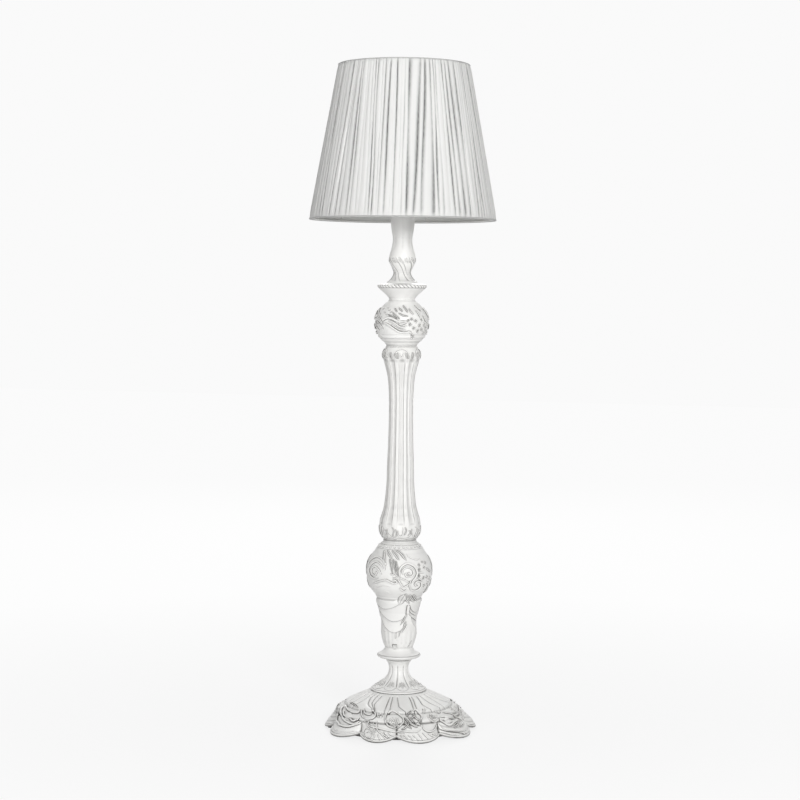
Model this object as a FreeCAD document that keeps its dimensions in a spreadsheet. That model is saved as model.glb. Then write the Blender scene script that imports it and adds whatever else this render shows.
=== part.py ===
import FreeCAD, Part

import functools
import math
import os

from FreeCAD import Vector

# A candlestick floor lamp: carved resin castings clamped on one threaded tube, a push-button
# switch in the foot of the vase, a screw lamp holder and a gathered cloth shade.
# Millimetres, Z up. The origin is the middle of the base on the floor, and the front faces -Y.

# Name, value and what it measures. Every other size and place is worked out from these.
SIZES = [
    # base
    ("pad_height", 2, "floor pad under each petal"),
    ("pad_radius", 8, "floor pad"),
    ("pad_inset", 22, "centre of a floor pad, from the tip of its petal"),
    ("petal_count", 10, "petals round the base"),
    ("base_height", 96.5, "base casting"),
    ("base_radius", 190, "tip of a petal"),
    ("petal_radius", 60, "rounding of a petal seen from above"),
    ("petal_edge", 5, "thickness of a petal at its tip"),
    ("petal_arch", 11, "rise of the edge between two petals"),
    ("petal_width", 32, "from the tip of a petal to the step under the dome"),
    ("step_height", 42, "height of that step"),
    ("step_width", 8, "that step"),
    ("dome_height", 56, "height of the foot of the dome"),
    ("base_top_radius", 66, "flat seat on top of the base"),
    ("base_wall", 8, "wall of the base casting"),
    ("hollow_inset", 47, "wall of the hollow under the base, from the tips of the petals"),
    ("boss_radius", 16, "boss in the hollow, which the weight is pulled up to"),
    ("boss_height", 56, "underside of the boss above the foot of the casting"),
    # closing the base
    ("cover_overlap", 4.4, "cover plate beyond the wall of the hollow"),
    ("cover_thickness", 3, "cover plate"),
    ("cover_recess", 3, "cover plate above the foot of the casting"),
    ("cover_rebate", 0.5, "play round the cover plate"),
    ("screw_inset", 15, "axis of a cover screw, from the wall of the hollow"),
    ("screw_radius", 1.5, "shank of a cover screw"),
    ("screw_length", 14, "shank of a cover screw"),
    ("screw_head_radius", 3.4, "head of a cover screw"),
    ("screw_head_height", 2, "head of a cover screw"),
    ("post_radius", 6, "post that takes a cover screw"),
    ("weight_inset", 25, "cast weight, from the wall of the hollow"),
    ("weight_height", 22, "cast weight"),
    ("weight_bevel", 2, "bevel round the weight"),
    # cord inlet
    ("inlet_height", 12, "axis of the cord inlet above the foot of the casting"),
    ("inlet_bore", 3.5, "bore of the grommet"),
    ("grommet_wall", 2, "wall of the grommet"),
    ("grommet_length", 16, "grommet"),
    ("grommet_flange", 2.5, "width of the grommet's flange"),
    ("grommet_flange_thickness", 2, "grommet's flange"),
    ("inlet_inset", 9, "flat spot for the grommet, from the tip of its petal"),
    # neck and ring
    ("neck_height", 70, "spool neck"),
    ("collar_radius", 70, "foot of the neck"),
    ("collar_edge", 3, "upright edge of that foot"),
    ("neck_waist_radius", 24.5, "neck at its waist"),
    ("neck_waist_height", 50, "height of the waist"),
    ("ring_height", 35.5, "ring between neck and vase"),
    ("ring_radius", 54.6, "ring"),
    ("ring_joint_radius", 34.8, "joint of ring with neck and vase"),
    # draped vase with its ball
    ("vase_height", 270, "vase casting"),
    ("vase_foot_radius", 45.4, "vase above its foot"),
    ("vase_foot_height", 30, "height of that point"),
    ("vase_body_height", 70, "straight part of the vase ends here"),
    ("vase_ledge_radius", 58.2, "ledge under the ball"),
    ("vase_ball_radius", 84.6, "ball of the vase, across"),
    ("vase_ball_half_height", 86.7, "ball of the vase, upright"),
    ("vase_joint_radius", 41, "joint of vase and column"),
    ("vase_lip", 4, "upright edge at that joint"),
    # fluted column
    ("column_height", 484, "column casting"),
    ("flute_count", 10, "flutes round the column"),
    ("ridge_share", 0.36, "share of a flute's pitch taken by the ridge"),
    ("flute_depth", 3.2, "flutes"),
    ("column_low_bulb", 53.2, "bulb at the foot of the column"),
    ("column_low_height", 34, "height of that bulb"),
    ("column_waist_radius", 30.6, "column where it is thinnest"),
    ("column_shaft_radius", 34.4, "column above the lower bulb"),
    ("column_shaft_height", 150, "height of that point"),
    ("column_waist_height", 335, "height of the thinnest point"),
    ("column_high_bulb", 49.2, "bulb at the head of the column"),
    ("column_high_drop", 20, "that bulb below the head"),
    # ball knop, drip pan, candle stem
    ("knop_height", 116, "ball knop casting"),
    ("knop_radius", 70, "ball knop, across"),
    ("knop_half_height", 62, "ball knop, upright"),
    ("knop_foot_radius", 38, "joint of column and knop"),
    ("knop_head_radius", 32, "joint of knop and pan"),
    ("pan_height", 39.5, "drip pan"),
    ("pan_radius", 60.2, "rim of the drip pan"),
    ("pan_rim", 5, "upright edge of the rim"),
    ("pan_bevel", 5, "bevel above the rim"),
    ("stem_height", 186.5, "candle stem"),
    ("stem_foot_radius", 39, "foot of the stem"),
    ("stem_low_waist_radius", 21.8, "stem's lower waist"),
    ("stem_low_waist_height", 24.5, "height of the lower waist"),
    ("stem_bulge_radius", 33, "stem's bulge"),
    ("stem_bulge_height", 60, "height of the bulge"),
    ("stem_high_waist_radius", 24.5, "stem's upper waist"),
    ("stem_high_waist_height", 108.5, "height of the upper waist"),
    ("stem_lip_radius", 33, "rim of the stem"),
    ("stem_lip", 6, "upright edge of that rim"),
    ("stem_cap_radius", 30, "metal cap on the stem"),
    ("stem_cap_thickness", 4, "metal cap on the stem"),
    # clamping tube
    ("tube_radius", 5, "threaded tube"),
    ("tube_bore", 4, "bore of the tube"),
    ("tube_tail", 5, "tube below its lower nut"),
    ("tube_grip", 10, "tube inside the lamp holder"),
    ("tube_play", 1, "play of the tube in the castings"),
    ("thread_play", 0.05, "play where a nut or holder is screwed on the tube"),
    ("washer_radius", 14, "washer"),
    ("washer_thickness", 2, "washer"),
    ("washer_play", 0.4, "play of the tube in a washer"),
    ("nut_radius", 8.1, "hexagon nut, over its corners"),
    ("nut_height", 5, "hexagon nut"),
    # switch
    ("switch_height", 6.5, "centre of the switch above the foot of the vase"),
    ("switch_face", 35, "flat spot behind the frame, from the axis"),
    ("switch_frame_side", 10.4, "square frame round the button"),
    ("switch_frame_depth", 2, "square frame round the button"),
    ("switch_body_side", 8.6, "square switch body"),
    ("switch_body_depth", 18, "switch body"),
    ("switch_play", 0.3, "play round frame, body and button"),
    ("button_side", 6.2, "square button"),
    ("button_length", 9, "button"),
    ("button_proud", 2.6, "button in front of its frame"),
    ("button_travel", 2.2, "stroke of the button"),
    ("switch_chamber_width", 16, "hollow behind the switch"),
    ("switch_chamber_height", 36, "hollow behind the switch"),
    ("switch_chamber_depth", 27, "front of that hollow, from the axis"),
    ("window_width", 6.6, "slot in the tube for the switch leads"),
    ("window_height", 16, "slot in the tube for the switch leads"),
    # wiring
    ("lead_radius", 1.1, "single lead over its insulation"),
    ("block_width", 20, "terminal block"),
    ("block_depth", 14, "terminal block"),
    ("block_height", 15, "terminal block"),
    ("block_reach", 52, "near face of the terminal block, from the axis"),
    ("groove_width", 1.5, "groove between the terminals"),
    ("groove_depth", 3, "groove between the terminals"),
    ("lead_floor", 10, "lowest lead above the foot of the casting"),
    # lamp holder
    ("holder_rise", 42, "bare tube between the stem's cap and the holder"),
    ("holder_cap_height", 22, "holder's domed cap"),
    ("holder_cap_radius", 20.5, "holder's domed cap"),
    ("holder_neck_radius", 9, "foot of that cap"),
    ("holder_wall", 2.5, "wall of the cap"),
    ("holder_height", 36, "holder's outer shell"),
    ("holder_radius", 19.2, "thread of the outer shell"),
    ("holder_bore", 16, "inside of the outer shell"),
    ("holder_flange_radius", 24, "shoulder that carries the shade"),
    ("holder_flange", 3, "shoulder that carries the shade"),
    ("insert_height", 8, "insulating insert"),
    ("socket_radius", 14.2, "screw shell, outside"),
    ("socket_wall", 0.6, "screw shell"),
    ("socket_height", 22, "screw shell"),
    ("contact_width", 7, "centre contact"),
    ("contact_thickness", 1.2, "centre contact"),
    ("holder_play", 0.3, "play between holder, shade and ring"),
    # bulb
    ("bulb_cap_radius", 13.2, "screw cap of the bulb"),
    ("bulb_cap_height", 22, "screw cap of the bulb"),
    ("bulb_insulator", 3.4, "glass ring under the screw cap"),
    ("bulb_tip", 1.2, "end contact of the bulb"),
    ("bulb_tip_radius", 4.6, "end contact of the bulb"),
    ("bulb_radius", 30, "glass of the bulb"),
    ("bulb_neck", 20, "straight neck of the glass up to its swell"),
    ("bulb_length", 78, "glass above the screw cap"),
    # shade
    ("clamp_height", 8, "ring that clamps the shade"),
    ("clamp_radius", 24.8, "ring that clamps the shade"),
    ("fitter_radius", 26, "carrier ring of the shade"),
    ("fitter_thickness", 2, "carrier ring of the shade"),
    ("arm_count", 3, "arms of the shade's carrier"),
    ("arm_rise", 24, "rise of an arm from ring to rib"),
    ("arm_radius", 1.5, "arm"),
    ("rib_count", 6, "ribs of the shade"),
    ("rib_radius", 1.5, "rib"),
    ("wire_radius", 2, "top and bottom wire of the shade"),
    ("frame_low_radius", 225, "bottom wire of the shade, outside"),
    ("frame_high_radius", 156.8, "top wire of the shade, outside"),
    ("shade_height", 381, "cloth of the shade"),
    ("shade_drop", 98, "lower edge of the cloth below the carrier ring"),
    ("wire_inset", 3, "centre of a wire inside the edge of the cloth"),
    ("cloth_play", 0.3, "play between wires, lining and cloth"),
    ("lining_thickness", 0.8, "lining"),
    ("cloth_thickness", 1.2, "cloth in a valley between folds"),
    ("fold_count", 80, "folds round the shade"),
    ("fold_depth", 3.5, "ridge of a fold above its valleys"),
]

# Round pieces are turned in flat steps, which lie within a few tenths of the true circle.
CASTING_SIDES = 32
SLIM_SIDES = 30
RIM_SIDES = 40
SMALL_SIDES = 24
WIRE_SIDES = 8
STEPS_PER_FLUTE = 5
STEPS_PER_PETAL = 6

# How far a cutter reaches past the face it cuts.
PAST = 1

doc = FreeCAD.newDocument("candlestick_floor_lamp")
sheet = doc.addObject("Spreadsheet::Sheet", "sizes")
for row, (name, size, note) in enumerate(SIZES, start=1):
    sheet.set(f"A{row}", name)
    sheet.set(f"B{row}", str(size))
    sheet.setAlias(f"B{row}", name)
    sheet.set(f"C{row}", note)
doc.recompute()


@functools.lru_cache(maxsize=None)
def mm(expression):
    """The number that an expression on the sheet's names gives."""
    return float(sheet.evalExpression(expression))


def size(name):
    return mm("sizes." + name)


# Where each piece of the stack sits, as sums of the sizes below it.
BASE = "sizes.pad_height"
COVER = BASE + " + sizes.cover_recess"
BOSS = BASE + " + sizes.boss_height"
WEIGHT = BOSS + " - sizes.weight_height"
LOW_WASHER = WEIGHT + " - sizes.washer_thickness"
LOW_NUT = LOW_WASHER + " - sizes.nut_height"
TUBE = LOW_NUT + " - sizes.tube_tail"
NECK = BASE + " + sizes.base_height"
RING = NECK + " + sizes.neck_height"
VASE = RING + " + sizes.ring_height"
COLUMN = VASE + " + sizes.vase_height"
KNOP = COLUMN + " + sizes.column_height"
PAN = KNOP + " + sizes.knop_height"
STEM = PAN + " + sizes.pan_height"
CAP = STEM + " + sizes.stem_height"
HIGH_WASHER = CAP + " + sizes.stem_cap_thickness"
HIGH_NUT = HIGH_WASHER + " + sizes.washer_thickness"
HOLDER_CAP = CAP + " + sizes.holder_rise"
HOLDER = HOLDER_CAP + " + sizes.holder_cap_height"
FITTER = HOLDER + " + sizes.holder_flange"
CLAMP = FITTER + " + sizes.fitter_thickness"
SOCKET = HOLDER + " + sizes.insert_height"
BULB = SOCKET + " + sizes.contact_thickness + sizes.holder_play"
SHADE = FITTER + " - sizes.shade_drop"
SWITCH = VASE + " + sizes.switch_height"

# Radii of the base, each measured back from the tips of the petals.
STEP_RADIUS = "(sizes.base_radius - sizes.petal_width)"
DOME_RADIUS = f"({STEP_RADIUS} - sizes.step_width)"
HOLLOW_RADIUS = "(sizes.base_radius - sizes.hollow_inset)"
COVER_RADIUS = f"({HOLLOW_RADIUS} + sizes.cover_overlap)"
SCREW_CIRCLE = f"({HOLLOW_RADIUS} - sizes.screw_inset)"
WEIGHT_RADIUS = f"({HOLLOW_RADIUS} - sizes.weight_inset)"
PAD_CIRCLE = "(sizes.base_radius - sizes.pad_inset)"
INLET_FACE = "(sizes.base_radius - sizes.inlet_inset)"


# ---- solids in flat steps ---------------------------------------------------------------

def solid_from(points, facets):
    shell = Part.Shape()
    shell.makeShapeFromMesh((points, facets), 0.0005)
    solid = Part.makeSolid(shell.Shells[0]).removeSplitter()
    if solid.Volume < 0:
        solid.reverse()
    return solid


def skin(rings, closed):
    """A solid through rings of points. A closed one meets its first ring again, an open one
    is capped at both ends."""
    sides = len(rings[0])
    points = [point for ring in rings for point in ring]
    spans = len(rings) if closed else len(rings) - 1
    facets = []
    for span in range(spans):
        low = span * sides
        high = (span + 1) % len(rings) * sides
        for side in range(sides):
            after = (side + 1) % sides
            corners = [low + side, low + after, high + after, high + side]
            facets.append((corners[0], corners[1], corners[2]))
            facets.append((corners[0], corners[2], corners[3]))
    if not closed:
        last = (len(rings) - 1) * sides
        for side in range(1, sides - 1):
            facets.append((0, side + 1, side))
            facets.append((last, last + side, last + side + 1))
    facets = [f for f in facets if all((points[a] - points[b]).Length > 1e-6
                                       for a, b in ((f[0], f[1]), (f[1], f[2]), (f[2], f[0])))]
    return solid_from(points, facets)


def turned(outline, sides, carve=None):
    """The closed outline of (radius, height) points swept round Z in flat steps. carve may
    move a point: it takes radius, height and angle and returns radius and height."""
    grow = math.sqrt((2 * math.pi / sides) / math.sin(2 * math.pi / sides))
    rings = []
    for radius, height in outline:
        ring = []
        for side in range(sides):
            angle = 2 * math.pi * side / sides
            r, z = carve(radius, height, angle) if carve else (radius * grow, height)
            ring.append(Vector(r * math.cos(angle), r * math.sin(angle), z))
        rings.append(ring)
    return skin(rings, closed=True)


def ease(start, end, steps):
    """An S-curve from one (radius, height) point to another, without its start."""
    shares = [step / steps for step in range(1, steps + 1)]
    return [(start[0] + (end[0] - start[0]) * (1 - math.cos(math.pi * s)) / 2,
             start[1] + (end[1] - start[1]) * s) for s in shares]


def flare(narrow, wide, steps, power):
    """A trumpet from its narrow end to its wide one, without its start."""
    shares = [step / steps for step in range(1, steps + 1)]
    return [(narrow[0] + (wide[0] - narrow[0]) * s ** power,
             narrow[1] + (wide[1] - narrow[1]) * s) for s in shares]


def rounded_out(start, end, steps):
    """A quarter ellipse that leaves its start outward and ends upright, without its start."""
    turns = [math.pi / 2 * step / steps for step in range(1, steps + 1)]
    return [(start[0] + (end[0] - start[0]) * math.sin(t),
             start[1] + (end[1] - start[1]) * (1 - math.cos(t))) for t in turns]


def ball(radius, half_height, low_radius, high_radius, foot, steps):
    """The side of a ball between two radii on it. foot is the height of the lower one."""
    low = -math.acos(low_radius / radius)
    high = math.acos(high_radius / radius)
    middle = foot - half_height * math.sin(low)
    turns = [low + (high - low) * step / steps for step in range(steps + 1)]
    return [(radius * math.cos(t), middle + half_height * math.sin(t)) for t in turns]


def circle(radius, centre_radius, centre_height, steps):
    turns = [2 * math.pi * (step + 0.5) / steps for step in range(steps)]
    return [(centre_radius + radius * math.cos(t), centre_height + radius * math.sin(t))
            for t in turns]


def tube_bore(height):
    """The bore for the clamping tube, from the top of a casting down to its foot."""
    bore = size("tube_radius") + size("tube_play")
    return [(bore, height), (bore, 0)]


def rod(start, end, radius, sides):
    """A straight rod with square ends."""
    return bent_rod([start, end], radius, sides)


def bent_rod(path, radius, sides):
    """A rod along a path of points, mitred where the path turns."""
    along = [(b - a).normalize() for a, b in zip(path, path[1:])]
    side_way = along[0].cross(Vector(1, 0, 0))
    if side_way.Length < 0.1:
        side_way = along[0].cross(Vector(0, 1, 0))
    side_way.normalize()
    other_way = along[0].cross(side_way)
    ring = []
    for side in range(sides):
        turn = 2 * math.pi * (side + 0.5) / sides
        ring.append(path[0] + side_way * (radius * math.cos(turn))
                    + other_way * (radius * math.sin(turn)))
    rings = [ring]
    for number, point in enumerate(path[1:], start=1):
        before = along[number - 1]
        after = along[min(number, len(along) - 1)]
        plane = (before + after).normalize()
        ring = [p + before * ((point - p).dot(plane) / before.dot(plane)) for p in ring]
        rings.append(ring)
    return skin(rings, closed=False)


def with_bends(corners, radius, steps):
    """The path through the corners, with each inner corner as steps of a tangent arc."""
    path = [corners[0]]
    for before, corner, after in zip(corners, corners[1:], corners[2:]):
        back = (before - corner).normalize()
        on = (after - corner).normalize()
        half = back.getAngle(on) / 2
        room = 0.45 * min((before - corner).Length, (after - corner).Length)
        bend = min(radius, room * math.tan(half))
        centre = corner + (back + on).normalize() * (bend / math.sin(half))
        start = corner + back * (bend / math.tan(half)) - centre
        end = corner + on * (bend / math.tan(half)) - centre
        sweep = start.getAngle(end)
        for step in range(steps + 1):
            share = step / steps
            a = math.sin((1 - share) * sweep) / math.sin(sweep)
            b = math.sin(share * sweep) / math.sin(sweep)
            path.append(centre + start * a + end * b)
    path.append(corners[-1])
    return path


# ---- objects of the document ------------------------------------------------------------

NODES = []


def node(name, obj):
    obj.Label = name
    NODES.append(obj)
    return obj


def bind(obj, **bound):
    for name, expression in bound.items():
        obj.setExpression(name.replace("__", "."), expression)
    return obj


def shaped(name, shape, seat=None):
    """A solid in the document, lifted to its seat."""
    obj = doc.addObject("Part::Feature", name)
    obj.Shape = shape
    if seat:
        obj.setExpression("Placement.Base.z", seat)
    return obj


def box(name, length, width, height, x, y, z):
    return bind(doc.addObject("Part::Box", name), Length=length, Width=width, Height=height,
                Placement__Base__x=x, Placement__Base__y=y, Placement__Base__z=z)


def cylinder(name, radius, height, x, y, z):
    return bind(doc.addObject("Part::Cylinder", name), Radius=radius, Height=height,
                Placement__Base__x=x, Placement__Base__y=y, Placement__Base__z=z)


def prism(name, sides, radius, height, x, y, z):
    obj = doc.addObject("Part::Prism", name)
    obj.Polygon = sides
    return bind(obj, Circumradius=radius, Height=height,
                Placement__Base__x=x, Placement__Base__y=y, Placement__Base__z=z)


def cut(name, base, tools):
    """base less each of the tools."""
    if len(tools) > 1:
        every = doc.addObject("Part::MultiFuse", name + "_tools")
        every.Shapes = tools
    else:
        every = tools[0]
    obj = doc.addObject("Part::Cut", name + "_cut")
    obj.Base = base
    obj.Tool = every
    return obj


def fuse(name, shapes):
    obj = doc.addObject("Part::MultiFuse", name + "_whole")
    obj.Shapes = shapes
    return obj


def group(name, solids):
    obj = doc.addObject("Part::Compound", name + "_set")
    obj.Links = solids
    return obj


def spread(radius, turn):
    """Expressions for x and y on a circle, at an angle in degrees from +X."""
    return f"{radius} * cos({turn} deg)", f"{radius} * sin({turn} deg)"


# ---- base -------------------------------------------------------------------------------

def petal_share(angle):
    """0 at the tip of a petal and 1 between two petals, for a petal with a round outline."""
    tip, rounding = size("base_radius"), size("petal_radius")
    pitch = 2 * math.pi / size("petal_count")
    turn = (angle + math.pi / 2 + pitch / 2) % pitch - pitch / 2

    def edge(a):
        inner = tip - rounding
        return inner * math.cos(a) + math.sqrt(rounding ** 2 - (inner * math.sin(a)) ** 2)

    return (tip - edge(turn)) / (tip - edge(pitch / 2)), tip - edge(pitch / 2)


def carve_petals(radius, height, angle):
    """Petals below the step, arched up where they meet."""
    step, inside = size("step_height"), mm(HOLLOW_RADIUS) + size("base_wall")
    if height >= step or radius < inside:
        return radius, height
    share, notch = petal_share(angle)
    fade = 1 - (height / step) ** 2
    edge = size("petal_edge")
    lift = size("petal_arch") * share if height <= edge + 0.01 else 0
    return radius - notch * share * fade, height + lift


def base_sides():
    return STEPS_PER_PETAL * int(size("petal_count"))


def make_base():
    top, wall = size("base_height"), size("base_wall")
    tip, edge = size("base_radius"), size("petal_edge")
    step = (mm(STEP_RADIUS), size("step_height"))
    dome = (mm(DOME_RADIUS), size("dome_height"))
    crown = (size("base_top_radius"), top)
    outside = [(tip, 0), (tip, edge)]
    outside += [(tip + (step[0] - tip) * s, edge + (step[1] - edge) * s ** 0.8)
                for s in (0.25, 0.6)]
    outside += [step, dome]
    outside += [(dome[0] + (crown[0] - dome[0]) * s, dome[1] + (crown[1] - dome[1]) * s ** 0.9)
                for s in (0.33, 0.67)]
    outside.append(crown)
    bore, boss = size("tube_radius") + size("tube_play"), size("boss_radius")
    hollow, rebate = mm(HOLLOW_RADIUS), mm(COVER_RADIUS) + size("cover_rebate")
    shelf = size("cover_recess") + size("cover_thickness")
    ceiling = top - 1.3 * wall
    inside = [(bore, top), (bore, size("boss_height")), (boss, size("boss_height")),
              (boss, ceiling), (crown[0] - wall, ceiling), (hollow, dome[1] - 1.6 * wall),
              (hollow, shelf), (rebate, shelf), (rebate, 0)]
    casting = shaped("base_casting", turned(outside + inside, base_sides(), carve_petals), BASE)

    post_foot = COVER + " + sizes.cover_thickness"
    post_height = "sizes.dome_height - sizes.cover_recess - sizes.cover_thickness"
    posts, holes = [], []
    for number, turn in enumerate((45, 135, 225, 315)):
        x, y = spread(SCREW_CIRCLE, turn)
        posts.append(prism(f"post_{number}", 12, "sizes.post_radius", post_height,
                           x, y, post_foot))
        holes.append(cylinder(f"post_hole_{number}", "sizes.screw_radius + 0.1",
                              "sizes.screw_length + sizes.cover_rebate", x, y,
                              post_foot + " - sizes.cover_rebate"))
    holes.append(inlet_cylinder("inlet_hole", "sizes.inlet_bore + sizes.grommet_wall + 0.1",
                                f"{HOLLOW_RADIUS} - 5 * {PAST}"))
    holes.append(inlet_cylinder("inlet_spot", "sizes.inlet_bore + sizes.grommet_wall"
                                " + sizes.grommet_flange + 0.5", INLET_FACE))
    node("base_bell", cut("base_bell", fuse("base_bell", [casting] + posts), holes))


def inlet_cylinder(name, radius, start):
    """A cylinder on the axis of the cord inlet, from a distance behind Z to past the petals."""
    obj = cylinder(name, radius, f"sizes.base_radius + {PAST} - ({start})", "0", start,
                   BASE + " + sizes.inlet_height")
    obj.Placement.Rotation = FreeCAD.Rotation(Vector(1, 0, 0), -90)
    return obj


def make_grommet():
    tube = size("inlet_bore") + size("grommet_wall")
    lip = tube + size("grommet_flange")
    neck = size("grommet_length") - size("grommet_flange_thickness")
    outline = [(tube, -neck), (tube, 0), (lip, 0), (lip, size("grommet_flange_thickness")),
               (0, size("grommet_flange_thickness")), (0, -neck)]
    blank = bind(shaped("grommet_blank", turned(outline, SMALL_SIDES)),
                 Placement__Base__y=INLET_FACE,
                 Placement__Base__z=BASE + " + sizes.inlet_height")
    blank.Placement.Rotation = FreeCAD.Rotation(Vector(1, 0, 0), -90)
    bore = inlet_cylinder("grommet_bore", "sizes.inlet_bore",
                          f"{INLET_FACE} - sizes.grommet_length - {PAST}")
    node("cord_grommet", cut("cord_grommet", blank, [bore]))


def make_base_fittings():
    edge, thick = mm(COVER_RADIUS), size("cover_thickness")
    outline = [(edge, 0), (edge, thick), (0, thick), (0, 0)]
    cover = shaped("cover_disc", turned(outline, base_sides()), COVER)
    holes, screws = [], []
    for number, turn in enumerate((45, 135, 225, 315)):
        x, y = spread(SCREW_CIRCLE, turn)
        holes.append(prism(f"cover_hole_{number}", WIRE_SIDES, "sizes.screw_radius + 0.4",
                           f"sizes.cover_thickness + 2 * {PAST}", x, y, f"{COVER} - {PAST}"))
        head = prism(f"screw_head_{number}", 12, "sizes.screw_head_radius",
                     "sizes.screw_head_height", x, y, COVER + " - sizes.screw_head_height")
        shank = prism(f"screw_shank_{number}", WIRE_SIDES, "sizes.screw_radius",
                      "sizes.screw_length", x, y, COVER)
        screws.append(fuse(f"screw_{number}", [head, shank]))
    node("base_cover", cut("base_cover", cover, holes))
    node("cover_screws", group("cover_screws", screws))

    pads = []
    count = int(size("petal_count"))
    for number in range(count):
        x, y = spread(PAD_CIRCLE, 360 * number / count - 90)
        pads.append(prism(f"pad_{number}", WIRE_SIDES, "sizes.pad_radius",
                          "sizes.pad_height", x, y, "0"))
    node("foot_pads", group("foot_pads", pads))

    edge, height, bevel = mm(WEIGHT_RADIUS), size("weight_height"), size("weight_bevel")
    outline = [(edge - bevel, 0), (edge, bevel), (edge, height - bevel), (edge - bevel, height)]
    node("ballast_weight", shaped("weight", turned(outline + tube_bore(height), CASTING_SIDES),
                                  WEIGHT))
    block = box("block", "sizes.block_width", "sizes.block_depth", "sizes.block_height",
                "-sizes.block_width / 2", "sizes.block_reach",
                WEIGHT + " - sizes.block_height")
    groove = box("block_groove", "sizes.groove_width", f"sizes.block_depth + 2 * {PAST}",
                 f"sizes.groove_depth + {PAST}", "-sizes.groove_width / 2",
                 f"sizes.block_reach - {PAST}", f"{WEIGHT} - sizes.block_height - {PAST}")
    node("terminal_block", cut("terminal_block", block, [groove]))


# ---- castings above the base --------------------------------------------------------------

def make_neck():
    height, collar, edge = size("neck_height"), size("collar_radius"), size("collar_edge")
    waist = (size("neck_waist_radius"), size("neck_waist_height"))
    skirt = flare(waist, (collar - 2, edge + 1), 6, 1.7)
    outline = [(collar, 0), (collar, edge)] + skirt[::-1] + [waist]
    outline += flare(waist, (size("ring_joint_radius"), height), 2, 1.8)
    node("spool_neck", shaped("neck", turned(outline + tube_bore(height), CASTING_SIDES), NECK))


def make_ring():
    height, joint = size("ring_height"), size("ring_joint_radius")
    steps = 7
    outline = []
    for step in range(steps + 1):
        swell = math.sin(math.pi * step / steps) ** 0.75
        outline.append((joint + (size("ring_radius") - joint) * swell, height * step / steps))
    node("ring_collar", shaped("ring", turned(outline + tube_bore(height), CASTING_SIDES), RING))


def vase_ball():
    """Outline of the vase's ball, from the ledge up to the lip under the column."""
    top = size("vase_height") - size("vase_lip")
    radius, half = size("vase_ball_radius"), size("vase_ball_half_height")
    ledge, joint = size("vase_ledge_radius") - 1.2, size("vase_joint_radius")
    span = half * (math.sin(math.acos(ledge / radius)) + math.sin(math.acos(joint / radius)))
    return ball(radius, half, ledge, joint, top - span, 11)


def make_vase():
    height = size("vase_height")
    round_part = vase_ball()
    foot = (size("ring_joint_radius"), 0)
    low = (size("vase_foot_radius"), size("vase_foot_height"))
    body = (size("vase_foot_radius"), size("vase_body_height"))
    ledge = (size("vase_ledge_radius"), round_part[0][1] - 5)
    outline = [foot] + ease(foot, low, 3) + [body] + ease(body, ledge, 4)
    outline += round_part + [(size("vase_joint_radius"), height)]
    casting = shaped("vase_casting", turned(outline + tube_bore(height), CASTING_SIDES), VASE)
    spot_side = "(sizes.switch_frame_side + 2 * sizes.switch_play)"
    hole_side = "(sizes.switch_body_side + sizes.switch_play)"
    spot = box("switch_spot", spot_side, "20", spot_side, f"-{spot_side} / 2",
               "-sizes.switch_face - 20", SWITCH + f" - {spot_side} / 2")
    hole = box("switch_hole", hole_side, "sizes.switch_face", hole_side, f"-{hole_side} / 2",
               f"-sizes.switch_face - {PAST}", SWITCH + f" - {hole_side} / 2")
    chamber = box("switch_chamber", "sizes.switch_chamber_width", "sizes.switch_chamber_depth",
                  f"sizes.switch_chamber_height + {PAST}", "-sizes.switch_chamber_width / 2",
                  "-sizes.switch_chamber_depth", f"{VASE} - {PAST}")
    node("lower_vase", cut("lower_vase", casting, [spot, hole, chamber]))


def column_outline():
    height = size("column_height")
    foot = (size("vase_joint_radius"), 0)
    low = (size("column_low_bulb"), size("column_low_height"))
    shaft = (size("column_shaft_radius"), size("column_shaft_height"))
    waist = (size("column_waist_radius"), size("column_waist_height"))
    high = (size("column_high_bulb"), height - size("column_high_drop"))
    head = (size("knop_foot_radius"), height)
    outline = [foot] + rounded_out(foot, low, 3)
    outline += flare(shaft, (low[0], low[1] + 10), 5, 1.9)[::-1] + [shaft]
    outline += ease(shaft, waist, 2) + flare(waist, high, 6, 2.4)
    outline += rounded_out(head, high, 3)[-2::-1] + [head]
    return outline


def carve_flutes(radius, height, angle):
    """Flutes between ridges, running out below the upper bulb and above the lower one."""
    if radius < size("tube_radius") + size("tube_play") + 1:
        return radius, height
    pitch = 2 * math.pi / size("flute_count")
    place = ((angle + math.pi / 2) / pitch + size("ridge_share") / 2) % 1
    ridge = size("ridge_share")
    if place <= ridge + 1e-6:
        return radius, height
    across = math.sin(math.pi * (place - ridge) / (1 - ridge))
    start, end = size("column_low_height") + 4, size("column_height") - 26
    run_out = min(height - start, end - height) / 30
    along = max(0, min(1, run_out))
    return radius - size("flute_depth") * across ** 0.7 * along, height


def make_column():
    """The column: each flute has its own ridge, so the steps round it aren't even."""
    height, ridge = size("column_height"), size("ridge_share")
    pitch = 2 * math.pi / size("flute_count")
    inner = STEPS_PER_FLUTE - 1
    places = [0] + [ridge + (1 - ridge) * step / inner for step in range(inner)]
    angles = []
    for flute in range(int(size("flute_count"))):
        angles += [pitch * (flute + place - ridge / 2) - math.pi / 2 for place in places]
    rings = []
    for radius, level in column_outline() + tube_bore(height):
        ring = []
        for angle in angles:
            r, z = carve_flutes(radius, level, angle)
            ring.append(Vector(r * math.cos(angle), r * math.sin(angle), z))
        rings.append(ring)
    node("fluted_column", shaped("column", skin(rings, closed=True), COLUMN))


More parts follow.
